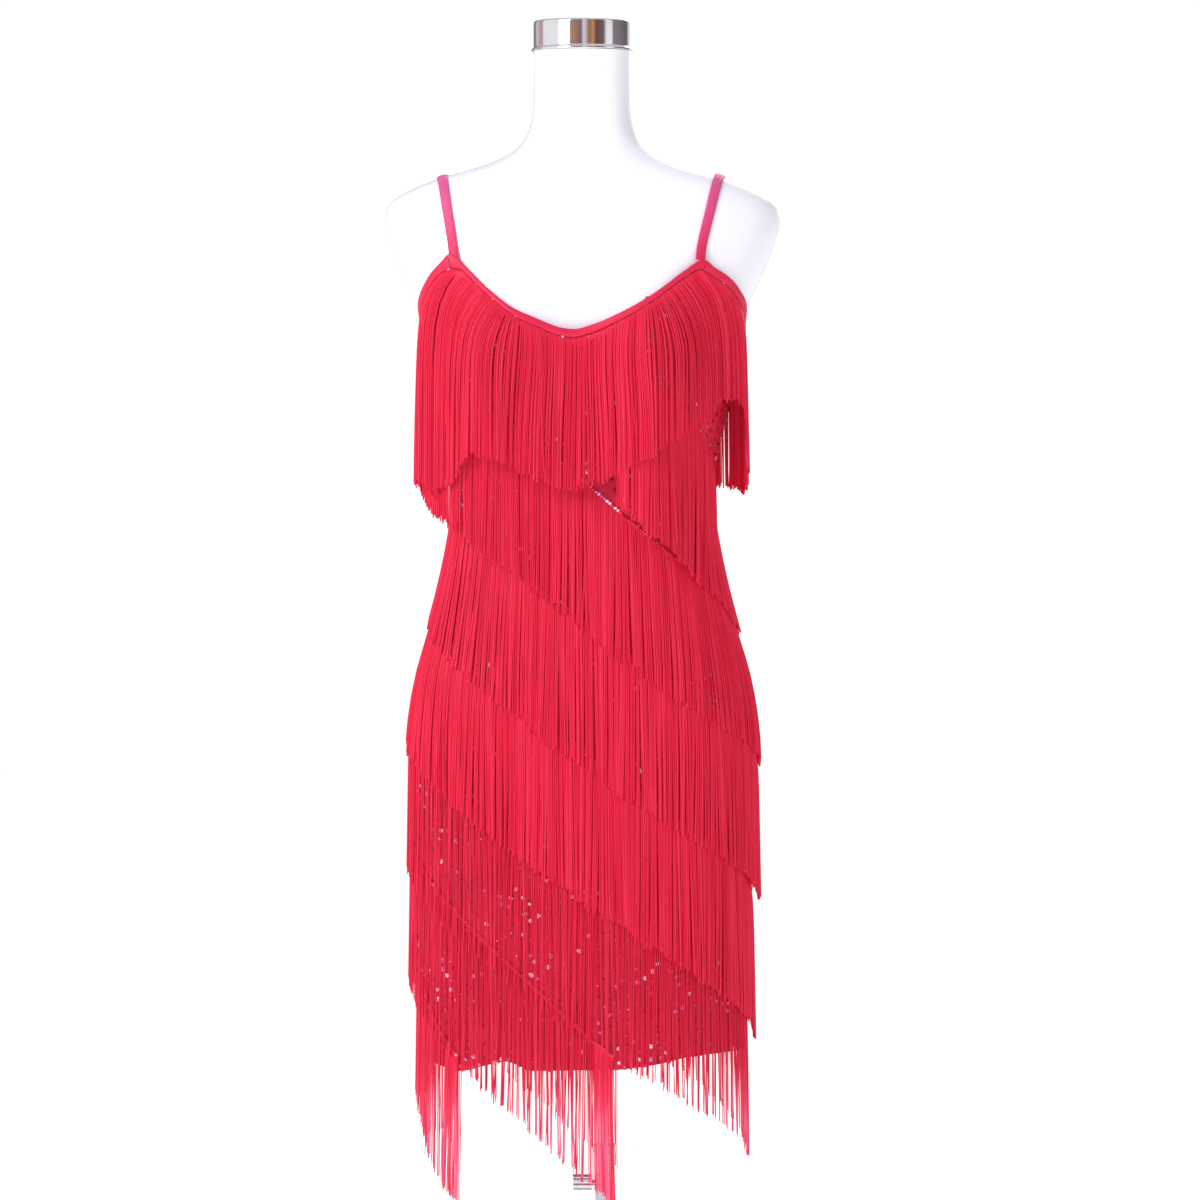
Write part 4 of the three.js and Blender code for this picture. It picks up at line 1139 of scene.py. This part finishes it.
def trim_points(row, middle):
    """Places of the small sequins sewn along a row's tape, and the way each faces."""
    angles, way = tape_way(row, middle)
    at = np.interp(np.arange(1.5, way[-1] - 1, settings().trim_pitch / MM), way, angles)
    z = tape_height(row, at) + TAPE_HEIGHT - TRIM_DOWN
    points = figure_point(at, z, CLOTH_OUT + TAPE_LIFT + TAPE_THICK + 0.25)
    return points, np.concatenate([figure_out(at, z), np.zeros((len(at), 1))], axis=1)


def trim_sequins(name, middle):
    points, facing = (np.concatenate(part) for part in zip(*(trim_points(row, middle) for row in ROWS)))
    mesh = mesh_of(name, points, [])
    point_values(mesh, "facing", facing, "FLOAT_VECTOR")
    piece = grown(name, mesh, trim_sequin_tree, Sequin_Diameter=settings().trim_sequin_diameter,
                  Material=finish_of(iridescent_sequins))
    return settle(piece, UPPER, "sequin_cloth")


# ---------------------------------------------------------------- settings
def size(name, default, description):
    return bpy.props.FloatProperty(name=name, description=description, default=default, unit="LENGTH")


def dye(name, default, description):
    return bpy.props.StringProperty(name=name, description=description, default=default)


class FlapperDressSettings(bpy.types.PropertyGroup):
    strand_spacing: size("Strand Spacing", 0.0024, "From one strand to the next along the tape, in each ply")
    strand_diameter: size("Strand Diameter", 0.0015, "Thickness of one chainette strand")
    sequin_diameter: size("Sequin Diameter", 0.005, "Width of the sequins on the cloth")
    sequin_spacing: size("Sequin Spacing", 0.007, "Least distance between sequins on the cloth")
    trim_sequin_diameter: size("Trim Sequin Diameter", 0.0032, "Width of the sequins along each tape")
    trim_pitch: size("Trim Pitch", 0.0036, "From one trim sequin to the next")
    fringe_colour: dye("Fringe", "#CC1C3A", "Main colour of the fringe")
    fringe_light: dye("Fringe Light", "#D83452", "Its lightest strands")
    # Painted glare: the pale pink that the thin rows' ends below the hem are painted, standing for bright
    # light through them.
    fringe_glare_colour: dye("Fringe Pale", "#F07C9C", "The thin rows' bleached ends")
    fringe_shadow: dye("Fringe Dark", "#BE1430", "Its darkest strands")
    cloth_colour: dye("Cloth", "#DC1C42", "Colour of the knit")
    cloth_shadow: dye("Cloth Dark", "#BE1436", "Its darker patches")
    binding_colour: dye("Binding", "#DA2048", "Colour of the bias tape")
    binding_shadow: dye("Binding Dark", "#D01A40", "Its darker patches")
    # Painted glare: the pink that the straps are painted towards the shoulders, standing for the haze of
    # bright light there.
    strap_glare_colour: dye("Strap", "#D05890", "Colour of the straps on the shoulders")
    form_colour: dye("Form", "#F9F8FC", "Colour of the dress form")
    form_shadow: dye("Form Dark", "#F3F2F8", "Its faintest shade")


# ---------------------------------------------------------------- operators
class MakeForm(bpy.types.Operator):
    """The dress form: its smooth shell and the cap on its neck"""
    bl_idname = "flapper.form"
    bl_label = "Dress Form"

    def execute(self, context):
        self.shell()
        self.cap()
        return {"FINISHED"}

    @staticmethod
    def shell():
        around = 128
        angles = np.arange(around) * 360 / around
        levels = [(FORM_BOTTOM + up, inset) for up, inset in FORM_FOOT]
        for z in np.linspace(FORM_BOTTOM + FOOT_TOP, NECK_TOP, 150):
            hidden = 1 - float(smoothstep(BUST_Z + 15, BUST_Z + 90, z))
            foot = 1 - float(smoothstep(FORM_BOTTOM + FOOT_TOP, FORM_BOTTOM + FOOT_FADE, z))
            levels.append((z, FORM_INSET * hidden + FOOT_INSET * foot))
        rings = []
        for z, inset in levels:
            z = np.full_like(angles, float(z))
            rings.append(in_frame(figure_xy(angles, z) - figure_out(angles, z) * inset, z))
        faces = grid_faces(len(rings), around, wrap=True)
        faces.append(list(range(around))[::-1])
        faces.append([(len(rings) - 1) * around + i for i in range(around)])
        mesh = outward(mesh_of("form_shell", np.array(rings), faces), 50)
        piece = new_object("form_shell", mesh, finish_of(polystyrene_shell))
        settle(piece, UPPER, "form_shell", "form_torso")

    @staticmethod
    def cap():
        low, high = (Vector(corner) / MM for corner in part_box("neck_cap"))
        centre = ((low.x + high.x) / 2, (low.y + high.y) / 2)
        radius = (high.x - low.x) / 2
        corners = [(0, low.z), (radius, low.z), (radius, low.z + 2.6), (radius - 2, low.z + 4),
                   (radius - 2, high.z), (0, high.z)]
        mesh = lathe_mesh("neck_cap_plated", rounded(corners, 3.0, 5), centre, 128)
        piece = new_object("neck_cap_plated", mesh, finish_of(polished_chrome))
        settle(piece, UPPER, "chrome", "neck_cap")


class MakeCloth(bpy.types.Operator):
    """The front and back of the dress, with the sequins sewn to them"""
    bl_idname = "flapper.cloth"
    bl_label = "Sequined Cloth"

    def execute(self, context):
        front = cloth_panel("dress_front", 0)
        back = cloth_panel("dress_back", 180)
        front_sequins = sewn_sequins("sequins_front", 0)
        back_sequins = sewn_sequins("sequins_back", 180)
        return {"FINISHED"}


class MakeTrims(bpy.types.Operator):
    """The bias binding of the top edge, the straps and their stitches"""
    bl_idname = "flapper.trims"
    bl_label = "Bindings and Straps"

    def execute(self, context):
        spans = {
            "neck_binding": (-LEFT_STRAP_DEG, RIGHT_STRAP_DEG),
            "armhole_binding_right": (RIGHT_STRAP_DEG + BUTT_DEG, BACK_STRAP_DEG - BUTT_DEG),
            "armhole_binding_left": (-BACK_STRAP_DEG + BUTT_DEG, -LEFT_STRAP_DEG - BUTT_DEG),
            "back_binding": (BACK_STRAP_DEG, 360 - BACK_STRAP_DEG),
        }
        meshes = {node: binding_mesh(node + "_satin", *span) for node, span in spans.items()}
        for side in ("right", "left"):
            meshes["strap_" + side] = strap_mesh(f"strap_{side}_satin", side)
        for node, mesh in meshes.items():
            piece = new_object(node + "_satin", mesh, finish_of(satin_binding))
            settle(piece, UPPER, "binding", node)
        lines = [binding_stitch_line(*span) for span in spans.values()]
        settle(stitches("binding_stitches", lines), UPPER, "binding")
        return {"FINISHED"}


class MakeFringe(bpy.types.Operator):
    """Every row of fringe, its heading tape and the sequins along it"""
    bl_idname = "flapper.fringe"
    bl_label = "Fringe"

    def execute(self, context):
        for number, row in enumerate(["bust", *ROWS]):
            for side, middle in (("front", 0), ("back", 180)):
                seed = 100 * number + (50 if middle else 0)
                fringe_piece(f"fringe_{row}_{side}", row, middle, seed)
        trim_sequins("trim_sequins_front", 0)
        trim_sequins("trim_sequins_back", 180)
        return {"FINISHED"}


class MakeStand(bpy.types.Operator):
    """The stand: base plate, tubes, clamp and its knob"""
    bl_idname = "flapper.stand"
    bl_label = "Stand"

    def execute(self, context):
        for node, maker in STAND_FINISHES.items():
            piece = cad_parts[node]
            piece.data.materials.clear()
            piece.data.materials.append(finish_of(maker))
        return {"FINISHED"}


FLOOR_REACH = 9000
CAMERA_PLACE = (-0.005, -4.5, 1.15)
CAMERA_TARGET = (-0.005, 0, 0.94)
# What polished metal mirrors, once round from behind over the left, the front and the right.
ROOM = (
    (0.0, "#C4C6C4"), (0.04, "#8C9094"), (0.09, "#7C8086"), (0.12, "#D4D6D2"), (0.19, "#C89098"),
    (0.21, "#FFFFFF"), (0.33, "#FFFFFF"), (0.345, "#C8A078"), (0.45, "#B08878"), (0.49, "#8A6870"),
    (0.505, "#F4ECFA"), (0.54, "#96705A"), (0.567, "#D09868"), (0.585, "#7A4A3E"),
    (0.64, "#746A70"), (0.66, "#FFFFFF"), (0.7, "#FFFFFF"), (0.71, "#8C8488"), (0.85, "#6E6468"),
    (0.87, "#E8E4E6"),
)
CEILING = "#DCDCE2"


class MakeStage(bpy.types.Operator):
    """The floor, the lights, the bright surroundings and the camera"""
    bl_idname = "flapper.stage"
    bl_label = "Stage"

    def execute(self, context):
        scene = context.scene
        self.floor()
        scene.view_settings.view_transform = "Standard"
        self.surroundings(scene)
        self.lamp("key", (-2.5, -2.5, 2.7), (0, 0, 0.95), 1.6, 100, (1, 0.94, 1.1))
        fill = self.lamp("fill", (2.6, -2.8, 1.6), (0, 0, 0.9), 2.2, 10, (1, 1, 1))
        fill.visible_glossy = False
        self.lamp("rim", (0.8, 2.6, 2.3), (0, 0, 1.0), 1.8, 30, (1, 1, 1))
        camera = bpy.data.cameras.new("camera")
        camera.lens = 135
        camera.sensor_width = 36
        scene.camera = self.pointed("camera", camera, CAMERA_PLACE, CAMERA_TARGET)
        return {"FINISHED"}

    @staticmethod
    def floor():
        corners = [(x * FLOOR_REACH, y * FLOOR_REACH, 0) for x, y in ((-1, -1), (1, -1), (1, 1), (-1, 1))]
        paint, tree, place = new_material("pale_studio_floor")
        cloud = add(tree, "ShaderNodeTexNoise", {"Vector": place, "Scale": 3.0})
        colour = add(tree, "ShaderNodeValToRGB", {"Fac": cloud}, [(0.3, "#F6F6F6"), (0.7, "#FAFAFA")])
        surfaced(paint, Base_Color=colour, Roughness=0.7, Emission_Color=(1, 1, 1, 1),
                 Emission_Strength=0.45)
        new_object("floor", mesh_of("floor", corners, [[0, 1, 2, 3]], smooth=False), paint)

    @staticmethod
    def pointed(name, data, place, target):
        """A lamp or camera at a place, turned towards its target."""
        thing = bpy.data.objects.new(name, data)
        bpy.context.scene.collection.objects.link(thing)
        thing.location = place
        thing.rotation_euler = (Vector(target) - Vector(place)).to_track_quat("-Z", "Y").to_euler()
        return thing

    def lamp(self, name, place, target, width, power, colour):
        light = bpy.data.lights.new(name, "AREA")
        light.size = width
        light.energy = power
        light.color = colour
        return self.pointed(name, light, place, target)

    @staticmethod
    def surroundings(scene):
        """White to the eye; to polished metal, a bright room with wood and windows round it."""
        world = bpy.data.worlds.new("bright room")
        scene.world = world
        world.use_nodes = True
        tree = world.node_tree
        tree.nodes.clear()
        way = add(tree, "ShaderNodeTexCoord").outputs["Generated"]
        across, along, up = add(tree, "ShaderNodeSeparateXYZ", {"Vector": way}).outputs
        towards = add(tree, "ShaderNodeMath", {0: along, 1: -1.0}, operation="MULTIPLY")
        turn = add(tree, "ShaderNodeMath", {0: across, 1: towards}, operation="ARCTAN2")
        share = add(tree, "ShaderNodeMapRange", {
            "Value": turn, "From Min": -math.pi, "From Max": math.pi})
        around = add(tree, "ShaderNodeValToRGB", {"Fac": share}, ROOM)
        steep = add(tree, "ShaderNodeMath", {0: up}, operation="ABSOLUTE")
        overhead = add(tree, "ShaderNodeMapRange", {"Value": steep, "From Min": 0.35, "From Max": 0.75})
        room = add(tree, "ShaderNodeMix", {0: overhead, 6: around, 7: linear(CEILING)},
                   data_type="RGBA").outputs[2]
        seen = add(tree, "ShaderNodeBackground", {"Color": (1, 1, 1, 1), "Strength": 1.1})
        lit = add(tree, "ShaderNodeBackground", {"Color": (0.97, 0.98, 1, 1), "Strength": 0.6})
        shiny = add(tree, "ShaderNodeBackground", {"Color": room, "Strength": 1.0})
        path = add(tree, "ShaderNodeLightPath").outputs
        gloss = add(tree, "ShaderNodeMixShader", {0: path["Is Glossy Ray"], 1: lit, 2: shiny})
        eye = add(tree, "ShaderNodeMixShader", {0: path["Is Camera Ray"], 1: gloss, 2: seen})
        add(tree, "ShaderNodeOutputWorld", {"Surface": eye})


class FlapperPanel(bpy.types.Panel):
    """Lists the dress's sizes and the steps that make it"""
    bl_idname = "VIEW3D_PT_flapper"
    bl_label = "Flapper Dress"
    bl_space_type = "VIEW_3D"
    bl_region_type = "UI"
    bl_category = "Dress"

    def draw(self, context):
        for name in FlapperDressSettings.__annotations__:
            self.layout.prop(context.scene.flapper_dress, name)
        for step in STEPS:
            self.layout.operator(step.bl_idname)


STEPS = (MakeStage, MakeForm, MakeCloth, MakeTrims, MakeFringe, MakeStand)
CLASSES = (FlapperDressSettings, *STEPS, FlapperPanel)


def register():
    for each in CLASSES:
        bpy.utils.register_class(each)
    bpy.types.Scene.flapper_dress = bpy.props.PointerProperty(type=FlapperDressSettings)


def unregister():
    del bpy.types.Scene.flapper_dress
    for each in reversed(CLASSES):
        bpy.utils.unregister_class(each)


def main():
    register()
    bpy.ops.flapper.stage()
    bpy.ops.flapper.form()
    bpy.ops.flapper.cloth()
    bpy.ops.flapper.trims()
    bpy.ops.flapper.fringe()
    bpy.ops.flapper.stand()


if __name__ == "__main__":
    main()
